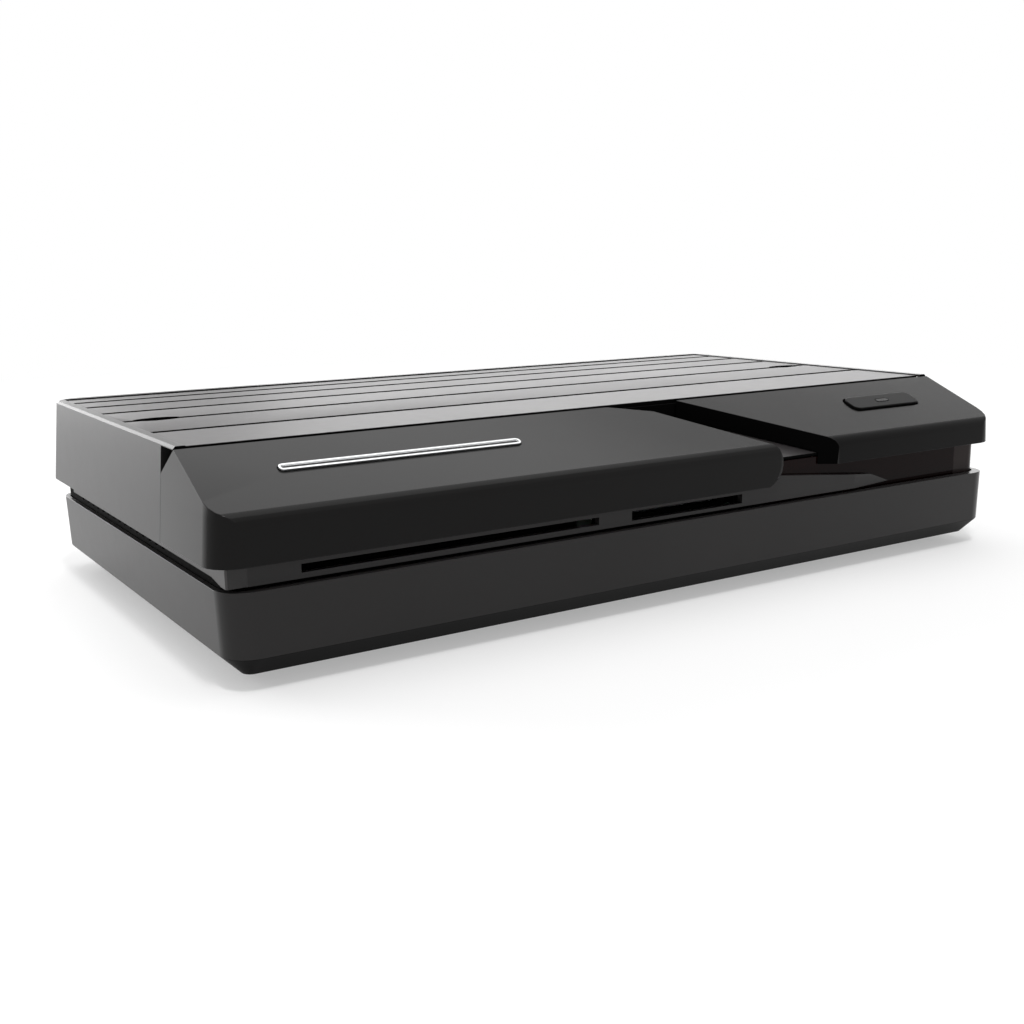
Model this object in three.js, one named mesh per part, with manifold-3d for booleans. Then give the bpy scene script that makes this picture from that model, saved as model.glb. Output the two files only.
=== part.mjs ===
// A desktop satellite television receiver in black plastic, in millimetres, +Z up, front towards -Y.
// Case frame: X from the middle, Y back from the front face, Z up from the underside of the case.
import * as THREE from 'three';
import { mergeVertices } from 'three/addons/utils/BufferGeometryUtils.js';
import Module from 'manifold-3d';

const wasm = await Module();
wasm.setup();

// Whole case
const caseWidth = 222;
const caseDepth = 124;
const caseHeight = 41.8;
const cornerRadius = 6;

// Clearances, and the overrun of every cut
const meetGap = 0.3;
const fineGap = 0.15;
const overrun = 8;

// Front, from the left side to the right: slots under the bonnet, channel, hood
const cardSlotInset = 17.6;
const cardSlotWidth = 69.8;
const cardSlotHeight = 1.7;
const cardSlotRise = 1.1;
const slotSpacing = 9.1;
const storeSlotWidth = 33;
const storeSlotHeight = 2.2;
const storeSlotRise = 0.8;
const bonnetEndShare = 0.2694;
const channelWidth = 19.4;

// Levels, from the underside up
const baseHeight = 17.1;
const shadowGap = 4.7;
const faceHeight = 9.4;

// Lower case: a tray with a bevelled underside, a rebated rim and screw bosses
const baseSideInset = 1.9;
const baseBackInset = 1;
const baseDraft = 0.5;
const baseBevel = 4.1;
const baseWall = 2.4;
const baseFloor = 2;
const baseInnerBevel = 3;
const rimWall = 1.1;
const rebateDepth = 3;
const bossRadius = 4.2;
const floorSlotWidth = 2;
const floorSlotLength = 26;
const floorSlotPitch = 5;
const floorSlotRowGap = 8;
const floorSlotMargin = 1.5;

// Rubber feet
const footHeight = 2.5;
const footRadius = 5;
const footSink = 0.8;
const footSideInset = 24;
const footFrontInset = 22;
const footBackInset = 22;
const footTaper = 0.6;

// Upper shell shared by the top cover, the bonnet and the hood
const sideLean = 1.65;
const backLean = 1.4;
const edgeChamfer = 0.5;

// Top cover: rim, sunk field and grooves between slats that narrow towards the back
const fieldDrop = 0.3;
const fieldRim = 2.5;
const topThickness = 2.2;
const shoulderInset = 4.8;
const grooveWidth = 1;
const grooveDepth = 1;
const slatCount = 6;
const slatStep = 3.1;
const thumbLength = 6.5;
const thumbWidth = 3;
const thumbDepth = 1.6;
const thumbInset = 12.5;
const notchBack = 30.7;
const notchLowDrop = 6.2;
const notchTopDrop = 0.7;
const notchReach = 5.1;
const coverBossRadius = 3.4;
const coverLipThickness = 1.8;

// Front slope, the bonnet on the left and the hood on the right
const seamY = 23.3;
const seamGap = 0.6;
const bendRadius = 3;
const shellSkin = 2.2;
const shellWall = 2;
const bonnetLean = 1.234;
const bonnetShoulderY = 19.3;
const bonnetShoulderRun = 34.9;
const bonnetTipRadius = 0.8;
const lapDepth = 1;
const lapRise = 2.6;
const hoodLean = 1.459;
const hoodLift = 3.3;
const hoodTipRadius = 0.8;
const hoodSideLow = 12;
const hoodSideBack = 19;
const trimLength = 56;
const trimWidth = 2.2;
const trimHeight = 0.5;
const trimSink = 0.5;
const trimInset = 18.8;
const trimY = 13.2;

// Inner frame: a ring wall behind the shadow gap, with a sloping roof under the bonnet and hood
const frameSideInset = 3.3;
const frameFrontInset = 3.2;
const frameBackInset = 2.4;
const frameRadius = 4;
const frameWall = 1.8;
const frameRise = 4.2;
const roofDrop = 4.7;
const roofEdge = 0.6;
const roofEdgeRun = 4;
const roofBack = 32;
const sideSlotWidth = 1.6;
const sideSlotHeight = 3;
const sideSlotPitch = 4.6;
const sideSlotFront = 40;
const sideSlotBack = 18;
const sideSlotLift = 0.9;
const frameBossRadius = 3.4;

// Front lip with the two card slots, and the display window beside it
const lipFront = 1.3;
const lipSide = 2.2;
const lipCorner = 8;
const lipLift = 0.8;
const lipHeight = 6;
const lipEndHeight = 2.9;
const lipFallStart = 1.1;
const lipFallEnd = 14.2;
const lipReach = 21.7;
const lipTipRise = 0.3;
const lipWrap = 9.5;
const lipWrapStart = 3;
const lipTurn = 14;
const windowLap = 2.9;
const windowSink = 1.5;
const windowWrap = 16;

// Power button, its light pipe and the push switch under it, in a frame on the slope
const buttonInset = 31.7;
const buttonY = 13.2;
const buttonLength = 25.2;
const buttonWidth = 6;
const buttonRadius = 2;
const buttonProud = 0.6;
const buttonFlange = 1.4;
const buttonFlangeDepth = 1;
const stemRadius = 2;
const pipeLength = 4.4;
const pipeWidth = 1.2;
const pipeProud = 0.05;
const pipeDepth = 1.6;
const plungerRadius = 1.7;
const plungerHeight = 2.5;
const switchSize = 6;
const switchHeight = 3;
const switchWell = 1.9;
const keyBoardLength = 30;
const keyBoardWidth = 12;
const keyPostRadius = 2;
const keyPostSpacing = 23;
const roofHoleRadius = 4.2;
const ribbonWidth = 7;
const ribbonThickness = 0.6;
const ribbonBend = 1.6;

// Screws
const screwRadius = 1.3;
const screwHeadRadius = 2.7;
const screwHeadHeight = 1.9;
const screwRecessWidth = 0.8;
const caseScrewLength = 16;
const caseScrewInset = 11;
const caseScrewFront = 20;
const caseScrewBack = 14;
const caseScrewSeat = 4;
const boardScrewLength = 5;
const smallScrewRadius = 0.8;
const smallScrewHeadRadius = 1.7;
const smallScrewHeadHeight = 1.1;
const smallScrewLength = 3.4;

// Main board and what stands on it
const boardThickness = 1.6;
const boardLevel = 8;
const boardSideInset = 9;
const boardFrontInset = 6.5;
const boardBackGap = 0.5;
const boardCorner = 2;
const boardBossStep = 8;
const boardBossGap = 4;
const chipSize = 27;
const chipHeight = 1.5;
const chipPlaceShare = 0.07;
const sinkGap = 4;
const sinkScrewGap = 1.94;
const tunerScrewGap = 1.94;
const sinkBase = 3;
const sinkHeight = 12;
const sinkFinCount = 9;
const sinkFinThickness = 1.4;
const memoryLength = 13;
const memoryWidth = 9;
const memoryHeight = 1.1;
const memoryPlaceShare = 0.34;
const chipRowShare = 0.654;
const memoryPitch = 12;
const memoryCount = 2;
const flashPlaceShare = 0.54;
const flashSize = 12;
const inductorSize = 10;
const inductorHeight = 5;
const inductorPlaceShare = -0.56;
const coilGap = 10;
const capacitorRadius = 4;
const capacitorHeight = 11;
const capacitorPlaceShare = -0.76;
const capacitorPitch = 10;
const capacitorGap = 8;
const capacitorCount = 2;
const radioLength = 22;
const radioWidth = 14;
const radioHeight = 2.4;
const radioPlaceShare = 0.79;

// Card readers on their own board above the main board
const readerBoardSink = 1.7;
const readerBoardInset = 16;
const readerBoardMargin = 4.5;
const storeBoardMargin = 5.5;
const readerFrontGap = 0.5;
const readerWidth = 64;
const readerDepth = 42;
const readerHeight = 5.2;
const readerMouth = 57;
const readerMouthDepth = 38;
const readerMouthHeight = 1.3;
const storeWidth = 29;
const storeDepth = 27;
const storeHeight = 3.9;
const storeMouth = 25;
const storeMouthDepth = 22;
const storeMouthHeight = 1.8;
const storeMargin = 0.6;
const standoffRadius = 2.7;
const standoffInset = 5;
const headerLength = 30;
const headerWidth = 5;

// Front board behind the display window
const frontBoardStep = 13;
const frontBoardInset = 9.7;
const frontBoardFront = 9;
const frontBoardDrop = 0.55;
const irWidth = 6;
const irHeight = 7;
const irDepth = 3;
const irDome = 2;
const irStep = 17;
const irDrop = 2.5;
const ledRadius = 1.5;
const ledLength = 3;
const ledStep = 29;
const ledPitch = 8;
const ledCount = 2;

// Rear panel and its sockets
const rearThickness = 1.5;
const socketRoom = 18;
const rearSideGap = 2;
const rearOpenInset = 12;
const rearOpenLow = 7.5;
const rearOpenDrop = 6.8;
const rearSlotWidth = 1.8;
const rearSlotPitch = 5;
const rearSlotCount = 34;
const rearSlotLiftShare = 0.22;
const rearSlotHeightShare = 0.63;
const socketProud = 0.5;
const dcPlaceShare = -0.784;
const dcWidth = 9;
const dcHeight = 11;
const dcDepth = 14;
const dcMouthRadius = 3.2;
const dcMouthDepth = 9.5;
const dcPinRadius = 1;
const lanPlaceShare = -0.577;
const lanWidth = 16;
const lanHeight = 13.5;
const lanDepth = 21;
const lanMouthWidth = 11.8;
const lanMouthHeight = 8;
const lanMouthDepth = 13;
const lanClipWidth = 6;
const lanClipHeight = 2;
const lanMouthLow = 3.2;
const usbPlaceShare = -0.342;
const usbWidth = 14.6;
const usbHeight = 15.6;
const usbDepth = 18;
const usbMouthWidth = 12.5;
const usbMouthHeight = 5.2;
const usbMouthDepth = 10;
const usbPitch = 7.6;
const usbTongueWidth = 11;
const usbTongueHeight = 1.9;
const usbTongueLength = 8.8;
const hdmiPlaceShare = -0.108;
const hdmiWidth = 15;
const hdmiHeight = 6.4;
const hdmiDepth = 12;
const hdmiMouthWidth = 13.9;
const hdmiMouthHeight = 4.5;
const hdmiMouthDepth = 8;
const hdmiTongueWidth = 11.4;
const hdmiTongueHeight = 1.1;
const hdmiShoulder = 1.6;
const jackPlaceShare = 0.072;
const jackWidth = 7;
const jackHeight = 6.4;
const jackDepth = 12;
const jackBarrelRadius = 3;
const jackBarrelLength = 2;
const jackBore = 1.8;
const jackBoreDepth = 11;
const tunerPlaceShare = 0.559;
const tunerWidth = 46;
const tunerDepth = 38;
const tunerHeight = 15;
const tunerSeam = 0.5;
const aerialSpacing = 22;
const aerialLevel = 18;
const aerialRadius = 4.75;
const aerialRoot = 4.3;
const aerialHexRadius = 6.2;
const aerialHexLength = 2.4;
const aerialReach = 12.5;
const aerialRidges = 7;
const aerialBore = 0.8;
const aerialBoreDepth = 9;
const aerialCup = 3.2;
const aerialCupDepth = 1;

// Facets of rounds
const cornerSteps = 5;
const roundSides = 20;
const smallSides = 14;
const hexSides = 6;
const halfShare = 0.5;
const thumbCornerShare = 0.45;
const crossShare = 0.6;
const pipeRoundShare = 0.45;
const coilRoundShare = 0.2;

// Places across the front
const halfWidth = caseWidth * halfShare;
const cardSlotLeft = cardSlotInset - halfWidth;
const cardSlotRight = cardSlotLeft + cardSlotWidth;
const cardSlotX = (cardSlotLeft + cardSlotRight) / 2;
const storeSlotLeft = cardSlotRight + slotSpacing;
const storeSlotRight = storeSlotLeft + storeSlotWidth;
const storeX = (storeSlotLeft + storeSlotRight) / 2;
const bonnetEnd = halfWidth * bonnetEndShare;
const bonnetShoulderX = bonnetEnd - bonnetShoulderRun;
const hoodStart = bonnetEnd + channelWidth;
const windowStart = bonnetEnd - windowLap;
const lipHighStart = bonnetEnd + lipFallStart;
const lipHighEnd = hoodStart + lipFallEnd;
const lipTip = hoodStart + lipReach;
const trimX = trimInset + trimLength / 2 - halfWidth;
const buttonX = halfWidth - buttonInset;

// Depths: card readers from the front, rear panel and sockets from the back, heat sink between them
const frontInside = frameFrontInset + frameWall;
const readerFront = frontInside + readerFrontGap;
const readerBoardBack = readerFront + readerDepth + readerBoardMargin;
const frameInnerBack = caseDepth - frameBackInset - frameWall;
const rearBack = frameInnerBack - meetGap;
const rearFront = rearBack - rearThickness;
const overallDepth = rearBack + aerialReach;
const boardBack = rearFront - boardBackGap;
const mouthY = rearBack + socketProud;
const sinkFront = readerBoardBack + sinkGap;
const sinkBack = rearFront - socketRoom;

// Levels between
const upperBottom = baseHeight + shadowGap;
const slopeFoot = upperBottom + faceHeight;
const notchLow = caseHeight - notchLowDrop;
const notchTop = caseHeight - notchTopDrop;
const lapTop = upperBottom + lapRise;
const hoodBottom = upperBottom + hoodLift;
const frameTop = upperBottom + frameRise;
const lipLow = baseHeight + lipLift;
const lipHighLeft = lipLow + lipHeight;
const lipHighRight = lipLow + lipEndHeight;
const lipTipLow = lipLow + lipTipRise;
const cardSlotLow = lipLow + cardSlotRise;
const storeSlotLow = lipLow + storeSlotRise;
const windowLow = baseHeight - windowSink;
const readerBoardLevel = baseHeight - readerBoardSink;
const rearOpenHigh = caseHeight - rearOpenDrop;
const panelTop = caseHeight - fieldDrop;
const slopeRise = (panelTop - slopeFoot) / seamY;
const slopeAngle = Math.atan(slopeRise);
const slopeCos = Math.cos(slopeAngle);
const slopeZ = (y) => slopeFoot + y * slopeRise;
const roofZ = (y) => slopeZ(y) - roofDrop;
const slopeEnd = seamY - seamGap;
const frameBottom = baseHeight - rebateDepth + meetGap;
const rearBottom = baseFloor + 2 * meetGap + rearBack
  - (caseDepth - baseBackInset - baseWall - baseInnerBevel);
const boardTop = boardLevel + boardThickness;
const deckLevel = boardTop + meetGap;
const readerDeck = readerBoardLevel + boardThickness + meetGap;
const coverInside = panelTop - topThickness;
const roofUnder = roofDrop * slopeCos + frameWall;
const keyBoardDepth = roofUnder + switchHeight + 2 * meetGap;
const keyBoardLow = -keyBoardDepth - boardThickness;
const keyBoardEdge = slopeZ(buttonY) + keyBoardLow * slopeCos - (keyBoardWidth / 2) * Math.sin(slopeAngle);
const frontBoardTop = keyBoardEdge - frontBoardDrop;
const irLevel = frontBoardTop - irDrop;

// Places on the main board and along the rear panel
const tunerX = halfWidth * tunerPlaceShare;
const chipX = halfWidth * chipPlaceShare;
const chipY = (sinkFront + sinkBack) / 2;
const memoryX = halfWidth * memoryPlaceShare;
const chipRow = (boardBack - tunerDepth) * chipRowShare;
const coilY = mouthY - lanDepth - coilGap - inductorSize / 2;
const boardBossX = tunerX - tunerWidth / 2 - tunerScrewGap - screwHeadRadius;
const sinkWidth = 2 * (boardBossX - screwHeadRadius - sinkScrewGap - chipX);
const boardBossFront = chipY - boardBossStep;
const boardBossBack = mouthY - usbDepth - boardBossGap;
const dcX = halfWidth * dcPlaceShare;
const lanX = halfWidth * lanPlaceShare;
const usbX = halfWidth * usbPlaceShare;
const hdmiX = halfWidth * hdmiPlaceShare;
const jackX = halfWidth * jackPlaceShare;
const rearSlotRoom = rearOpenHigh - deckLevel - usbHeight;
const rearSlotLow = deckLevel + usbHeight + rearSlotRoom * rearSlotLiftShare;
const rearSlotHeight = rearSlotRoom * rearSlotHeightShare;

// Solids: three.js makes the shapes, and manifold-3d joins and cuts them
function toSolid(geometry) {
  const bare = geometry.clone();
  bare.deleteAttribute('normal');
  bare.deleteAttribute('uv');
  const merged = mergeVertices(bare);
  const vertProperties = Float32Array.from(merged.getAttribute('position').array);
  const triVerts = Uint32Array.from(merged.getIndex().array);
  return new wasm.Manifold(new wasm.Mesh({ numProp: 3, vertProperties, triVerts }));
}

function toGeometry(solid) {
  const { vertProperties, triVerts } = solid.getMesh();
  const geometry = new THREE.BufferGeometry();
  geometry.setAttribute('position', new THREE.BufferAttribute(vertProperties, 3));
  geometry.setIndex(new THREE.BufferAttribute(triVerts, 1));
  geometry.computeVertexNormals();
  return geometry;
}

const join = (...solids) => solids.reduce((whole, next) => whole.add(next));
const cut = (whole, ...tools) => tools.reduce((rest, tool) => rest.subtract(tool), whole);
const common = (...solids) => solids.reduce((whole, next) => whole.intersect(next));

// Corners are [x, y, radius]; a radius turns the corner into an arc of cornerSteps chords
function rounded(corners) {
  return corners.flatMap(([x, y, radius], i) => {
    const here = new THREE.Vector2(x, y);
    if (!radius) return [here];
    const before = corners.at(i - 1);
    const after = corners[(i + 1) % corners.length];
    const back = new THREE.Vector2(before[0], before[1]).sub(here).normalize();
    const ahead = new THREE.Vector2(after[0], after[1]).sub(here).normalize();
    const half = Math.acos(back.dot(ahead)) / 2;
    const inward = back.clone().add(ahead).normalize();
    const centre = here.clone().addScaledVector(inward, radius / Math.sin(half));
    const start = here.clone().addScaledVector(back, radius / Math.tan(half)).sub(centre);
    const end = here.clone().addScaledVector(ahead, radius / Math.tan(half)).sub(centre);
    const sweep = Math.atan2(start.cross(end), start.dot(end));
    const arc = [];
    for (let step = 0; step <= cornerSteps; step += 1) {
      const turned = start.clone().rotateAround(new THREE.Vector2(), (sweep * step) / cornerSteps);
      arc.push(turned.add(centre));
    }
    return arc;
  });
}

function rectangle(left, right, front, back, radius = 0) {
  return rounded([
    [left, front, radius],
    [right, front, radius],
    [right, back, radius],
    [left, back, radius],
  ]);
}

// Closed body through rings of equal point counts, each ring flat at its own z
function loft(rings) {
  const count = rings[0].points.length;
  const positions = rings.flatMap(({ points, z }) => points.flatMap((p) => [p.x, p.y, z]));
  const index = [];
  for (let ring = 0; ring < rings.length - 1; ring += 1) {
    for (let i = 0; i < count; i += 1) {
      const a = ring * count + i;
      const b = ring * count + ((i + 1) % count);
      index.push(a, b, b + count, a, b + count, a + count);
    }
  }
  const topStart = (rings.length - 1) * count;
  for (const [a, b, c] of THREE.ShapeUtils.triangulateShape(rings[0].points, [])) index.push(a, c, b);
  for (const [a, b, c] of THREE.ShapeUtils.triangulateShape(rings.at(-1).points, [])) {
    index.push(topStart + a, topStart + b, topStart + c);
  }
  const geometry = new THREE.BufferGeometry();
  geometry.setAttribute('position', new THREE.Float32BufferAttribute(positions, 3));
  geometry.setIndex(index);
  return toSolid(geometry);
}

function extrusion(points, length) {
  return new THREE.ExtrudeGeometry(new THREE.Shape(points), { depth: length, bevelEnabled: false });
}

const axisX = new THREE.Vector3(1, 0, 0);
const axisY = new THREE.Vector3(0, 1, 0);
const axisZ = new THREE.Vector3(0, 0, 1);

// Outline in XY, pushed up from low to high
const prismZ = (points, low, high) => toSolid(extrusion(points, high - low).translate(0, 0, low));

// Outline in YZ, pushed from left to right
function prismX(points, left, right) {
  const turn = new THREE.Matrix4().makeBasis(axisY, axisZ, axisX);
  return toSolid(extrusion(points, right - left).applyMatrix4(turn).translate(left, 0, 0));
}

// Outline in XZ, pushed from front to back
function prismY(points, front, back) {
  const turn = new THREE.Matrix4().makeBasis(axisX, axisZ, axisY.clone().negate());
  return toSolid(extrusion(points, back - front).applyMatrix4(turn).translate(0, back, 0));
}

function box(left, right, front, back, low, high) {
  const shape = new THREE.BoxGeometry(right - left, back - front, high - low);
  return toSolid(shape.translate((left + right) / 2, (front + back) / 2, (low + high) / 2));
}

const block = (x, y, low, width, depth, height) =>
  box(x - width / 2, x + width / 2, y - depth / 2, y + depth / 2, low, low + height);

function drumShape(x, y, low, high, radius, facets, topRadius = radius) {
  const turned = new THREE.CylinderGeometry(topRadius, radius, high - low, facets).rotateX(Math.PI / 2);
  return turned.translate(x, y, (low + high) / 2);
}

const drum = (x, y, low, high, radius, facets = roundSides, topRadius = radius) =>
  toSolid(drumShape(x, y, low, high, radius, facets, topRadius));

function drumY(x, z, front, back, radius, facets = roundSides) {
  const lying = new THREE.CylinderGeometry(radius, radius, back - front, facets);
  return toSolid(lying.translate(x, (front + back) / 2, z));
}

// Profile of [radius, distance] pairs turned about an axis that runs back along Y
function turnedY(profile, x, z, front) {
  const points = profile.map(([radius, distance]) => new THREE.Vector2(radius, distance));
  return toSolid(new THREE.LatheGeometry(points, roundSides).translate(x, front, z));
}

// The frame on the slope: X along the case, Y up the slope, Z out of it
function slopeMatrix(x, y) {
  const turn = new THREE.Matrix4().makeRotationX(slopeAngle);
  return turn.premultiply(new THREE.Matrix4().makeTranslation(x, y, slopeZ(y)));
}

const atButton = (geometry) => toSolid(geometry.applyMatrix4(slopeMatrix(buttonX, buttonY)));

function capsule(length, width, radius, low, high) {
  return extrusion(rectangle(-length / 2, length / 2, -width / 2, width / 2, radius), high - low)
    .translate(0, 0, low);
}

// Rounded outline of the case, drawn in from its sides, front and back
function casePlan(side, front, back, radius) {
  return rectangle(side - halfWidth, halfWidth - side, front, caseDepth - back, radius);
}

const receiver = new THREE.Group();
const caseGroup = new THREE.Group();
caseGroup.position.set(0, -overallDepth / 2, footHeight);
receiver.add(caseGroup);
const slopeGroup = new THREE.Group();
slopeGroup.position.set(buttonX, buttonY, slopeZ(buttonY));
slopeGroup.rotation.x = slopeAngle;
caseGroup.add(slopeGroup);

const finishes = {
  satinBlack: [0x1b1a1b, 0.42, 0],
  glossBlack: [0x0e0e0f, 0.16, 0],
  matteBlack: [0x131314, 0.7, 0],
  darkRed: [0x3a1614, 0.08, 0],
  rubber: [0x0b0b0b, 0.9, 0],
  boardGreen: [0x14532d, 0.5, 0],
  steel: [0xb6b8ba, 0.35, 1],
  chrome: [0xe2e3e5, 0.08, 1],
  nickel: [0xc9c3b4, 0.3, 1],
  aluminium: [0xa9abad, 0.45, 1],
  darkPlastic: [0x1f1f20, 0.55, 0],
  paleLens: [0xd8dde0, 0.2, 0],
  ribbonWhite: [0xd5d2c8, 0.6, 0],
  screwSteel: [0x6f7173, 0.4, 1],
};

function add(name, solid, finish, group = caseGroup) {
  const [color, roughness, metalness] = finishes[finish];
  const material = new THREE.MeshStandardMaterial({ color, roughness, metalness, flatShading: true });
  const mesh = new THREE.Mesh(toGeometry(solid), material);
  mesh.name = name;
  group.add(mesh);
}

// The four case screws and four feet stand at mirrored places
const sides = [['left', -1], ['right', 1]];
const caseScrewPlaces = sides.flatMap(([side, sign]) => [
  [`front_${side}`, sign * (halfWidth - caseScrewInset), caseScrewFront],
  [`rear_${side}`, sign * (halfWidth - caseScrewInset), caseDepth - caseScrewBack],
]);
const footPlaces = sides.flatMap(([side, sign]) => [
  [`front_${side}`, sign * (halfWidth - footSideInset), footFrontInset],
  [`rear_${side}`, sign * (halfWidth - footSideInset), caseDepth - footBackInset],
]);
const boardScrewPlaces = sides.flatMap(([side, sign]) => [
  [`front_${side}`, sign * boardBossX, boardBossFront],
  [`rear_${side}`, sign * boardBossX, boardBossBack],
]);
const holeRadius = screwRadius + meetGap;
const farSide = halfWidth + overrun;
const farBack = caseDepth + overrun;
const farTop = caseHeight + overrun;

// Lower case
function lowerCase() {
  const foot = baseSideInset + baseDraft;
  const lowBack = baseBackInset + baseBevel;
  const outside = loft([
    { z: 0, points: casePlan(foot + baseBevel, baseBevel, lowBack, cornerRadius - baseBevel) },
    { z: baseBevel, points: casePlan(foot, 0, baseBackInset, cornerRadius) },
    { z: baseHeight, points: casePlan(baseSideInset, 0, baseBackInset, cornerRadius) },
  ]);
  const wall = baseSideInset + baseWall;
  const backWall = baseBackInset + baseWall;
  const innerRadius = cornerRadius - baseWall;
  const bevelled = (inset) => inset + baseInnerBevel;
  const hollow = loft([
    {
      z: baseFloor,
      points: casePlan(bevelled(wall), bevelled(baseWall), bevelled(backWall), innerRadius),
    },
    { z: baseFloor + baseInnerBevel, points: casePlan(wall, baseWall, backWall, innerRadius) },
    { z: baseHeight + overrun, points: casePlan(wall, baseWall, backWall, innerRadius) },
  ]);
  const rebate = prismZ(
    casePlan(baseSideInset + rimWall, baseWall, baseBackInset + rimWall, cornerRadius - rimWall),
    baseHeight - rebateDepth,
    baseHeight + overrun,
  );
  const openEdge = halfWidth - rearOpenInset;
  const rearOpening = box(-openEdge, openEdge, rearFront, farBack, rearOpenLow, farTop);
  let tray = cut(outside, hollow, rebate, rearOpening);
  for (const [, x, y] of caseScrewPlaces) {
    const boss = drum(x, y, baseFloor * halfShare, boardLevel - meetGap, bossRadius);
    const seat = drum(x, y, -overrun, caseScrewSeat, screwHeadRadius + meetGap);
    tray = cut(join(tray, boss), seat, drum(x, y, 0, baseHeight, holeRadius, smallSides));
  }
  for (const [, x, y] of boardScrewPlaces) {
    const boss = drum(x, y, baseFloor * halfShare, boardLevel - meetGap, bossRadius);
    tray = cut(join(tray, boss), drum(x, y, baseFloor, baseHeight, holeRadius, smallSides));
  }
  for (const [, x, y] of footPlaces) {
    tray = cut(tray, drum(x, y, -overrun, footSink, footRadius + meetGap));
  }
  const slotReach = boardBossX - bossRadius - floorSlotMargin - floorSlotWidth / 2;
  const slotColumns = Math.floor((2 * slotReach) / floorSlotPitch) + 1;
  const rowStep = (floorSlotRowGap + floorSlotLength) / 2;
  for (let i = 0; i < slotColumns; i += 1) {
    const x = (i - (slotColumns - 1) / 2) * floorSlotPitch;
    for (const y of [caseDepth / 2 - rowStep, caseDepth / 2 + rowStep]) {
      tray = cut(tray, block(x, y, -overrun, floorSlotWidth, floorSlotLength, baseFloor + 2 * overrun));
    }
  }
  return tray;
}
add('lower_case', lowerCase(), 'satinBlack');

for (const [place, x, y] of footPlaces) {
  const foot = drum(x, y, -footHeight, footSink - meetGap, footRadius - footTaper, roundSides, footRadius);
  add(`foot_${place}`, foot, 'rubber');
}

// Outer form of the upper shell, and the space that the inner frame needs inside it
function upperForm(radius = cornerRadius) {
  const rise = caseHeight - upperBottom;
  const shoulder = 1 - edgeChamfer / rise;
  return loft([
    { z: upperBottom, points: casePlan(0, 0, 0, radius) },
    { z: caseHeight - edgeChamfer, points: casePlan(sideLean * shoulder, 0, backLean * shoulder, radius) },
    { z: caseHeight, points: casePlan(sideLean + edgeChamfer, 0, backLean + edgeChamfer, radius) },
  ]);
}

const frameClear = (low, high) => prismZ(
  casePlan(
    frameSideInset - meetGap,
    frameFrontInset - meetGap,
    frameBackInset - meetGap,
    frameRadius + meetGap,
  ),
  low,
  high,
);

// Grooves follow slats that narrow by slatStep each from the seam to the back rim
const fieldBack = caseDepth - backLean - fieldRim;
const stepTotal = (slatStep * slatCount * (slatCount - 1)) / 2;
const firstSlat = (fieldBack - seamY + stepTotal) / slatCount;
const groovePlaces = [];
for (let i = 1, y = seamY; i < slatCount; i += 1) {
  y += firstSlat - slatStep * (i - 1);
  groovePlaces.push(y);
}

function topCover() {
  const shell = common(upperForm(), box(-farSide, farSide, seamY, farBack, 0, farTop));
  const lowHollow = frameClear(0, frameTop + meetGap);
  const roofHollow = common(
    frameClear(0, roofZ(slopeEnd) + meetGap),
    box(-farSide, farSide, 0, roofBack + meetGap, 0, farTop),
  );
  const highHollow = box(
    shoulderInset - halfWidth,
    halfWidth - shoulderInset,
    seamY + coverLipThickness,
    frameInnerBack,
    upperBottom,
    coverInside,
  );
  let cover = cut(shell, lowHollow, roofHollow, highHollow);
  for (const [, sign] of sides) {
    const inner = sign * (halfWidth - notchReach);
    const outer = sign * farSide;
    cover = cut(cover, box(Math.min(inner, outer), Math.max(inner, outer), 0, notchBack, 0, notchTop));
  }
  const openEdge = halfWidth - rearOpenInset;
  cover = cut(cover, box(-openEdge, openEdge, rearFront, farBack, 0, rearOpenHigh));
  const fieldSide = halfWidth - sideLean - fieldRim;
  cover = cut(cover, box(-fieldSide, fieldSide, 0, fieldBack, panelTop, farTop));
  for (const y of groovePlaces) {
    cover = cut(cover, block(0, y, panelTop - grooveDepth, 2 * fieldSide, grooveWidth, overrun));
  }
  for (const [side, x, y] of caseScrewPlaces) {
    if (side.startsWith('rear')) {
      const boss = drum(x, y, deckLevel, coverInside + meetGap, coverBossRadius);
      const pilot = drum(x, y, 0, baseFloor + caseScrewLength + caseScrewSeat, holeRadius, smallSides);
      cover = cut(join(cover, boss), pilot);
    }
  }
  for (const [, sign] of sides) {
    const x = sign * (halfWidth - thumbInset);
    const y = groovePlaces[1];
    const outline = rectangle(
      x - thumbLength / 2,
      x + thumbLength / 2,
      y - thumbWidth / 2,
      y + thumbWidth / 2,
      thumbWidth * thumbCornerShare,
    );
    cover = cut(cover, prismZ(outline, panelTop - thumbDepth, farTop));
  }
  return cover;
}

add('top_cover', topCover(), 'satinBlack');

// Space under the roof of the inner frame, where its walls and roof stand
const roofFlat = roofZ(slopeEnd);
const underRoof = (gap) => prismX([
  new THREE.Vector2(-overrun, 0),
  new THREE.Vector2(farBack, 0),
  new THREE.Vector2(farBack, roofFlat + gap),
  new THREE.Vector2(slopeEnd, roofFlat + gap),
  new THREE.Vector2(-overrun, roofZ(-overrun) + gap),
], -farSide, farSide);

const underSlope = (drop) => prismX([
  new THREE.Vector2(-overrun, 0),
  new THREE.Vector2(farBack, 0),
  new THREE.Vector2(farBack, slopeZ(farBack) - drop),
  new THREE.Vector2(-overrun, slopeZ(-overrun) - drop),
], -farSide, farSide);

// Side outline of a front shell: front face, bend, slope, and the notch edge at its back
function frontProfile(lowCorners) {
  const back = notchBack - meetGap;
  return prismX(rounded([
    [0, lowCorners[0][1]],
    [0, slopeFoot, bendRadius],
    [slopeEnd, slopeZ(slopeEnd)],
    [back, notchLow],
    [back, upperBottom],
    ...lowCorners.slice(1),
  ]), -farSide, farSide);
}

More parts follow.
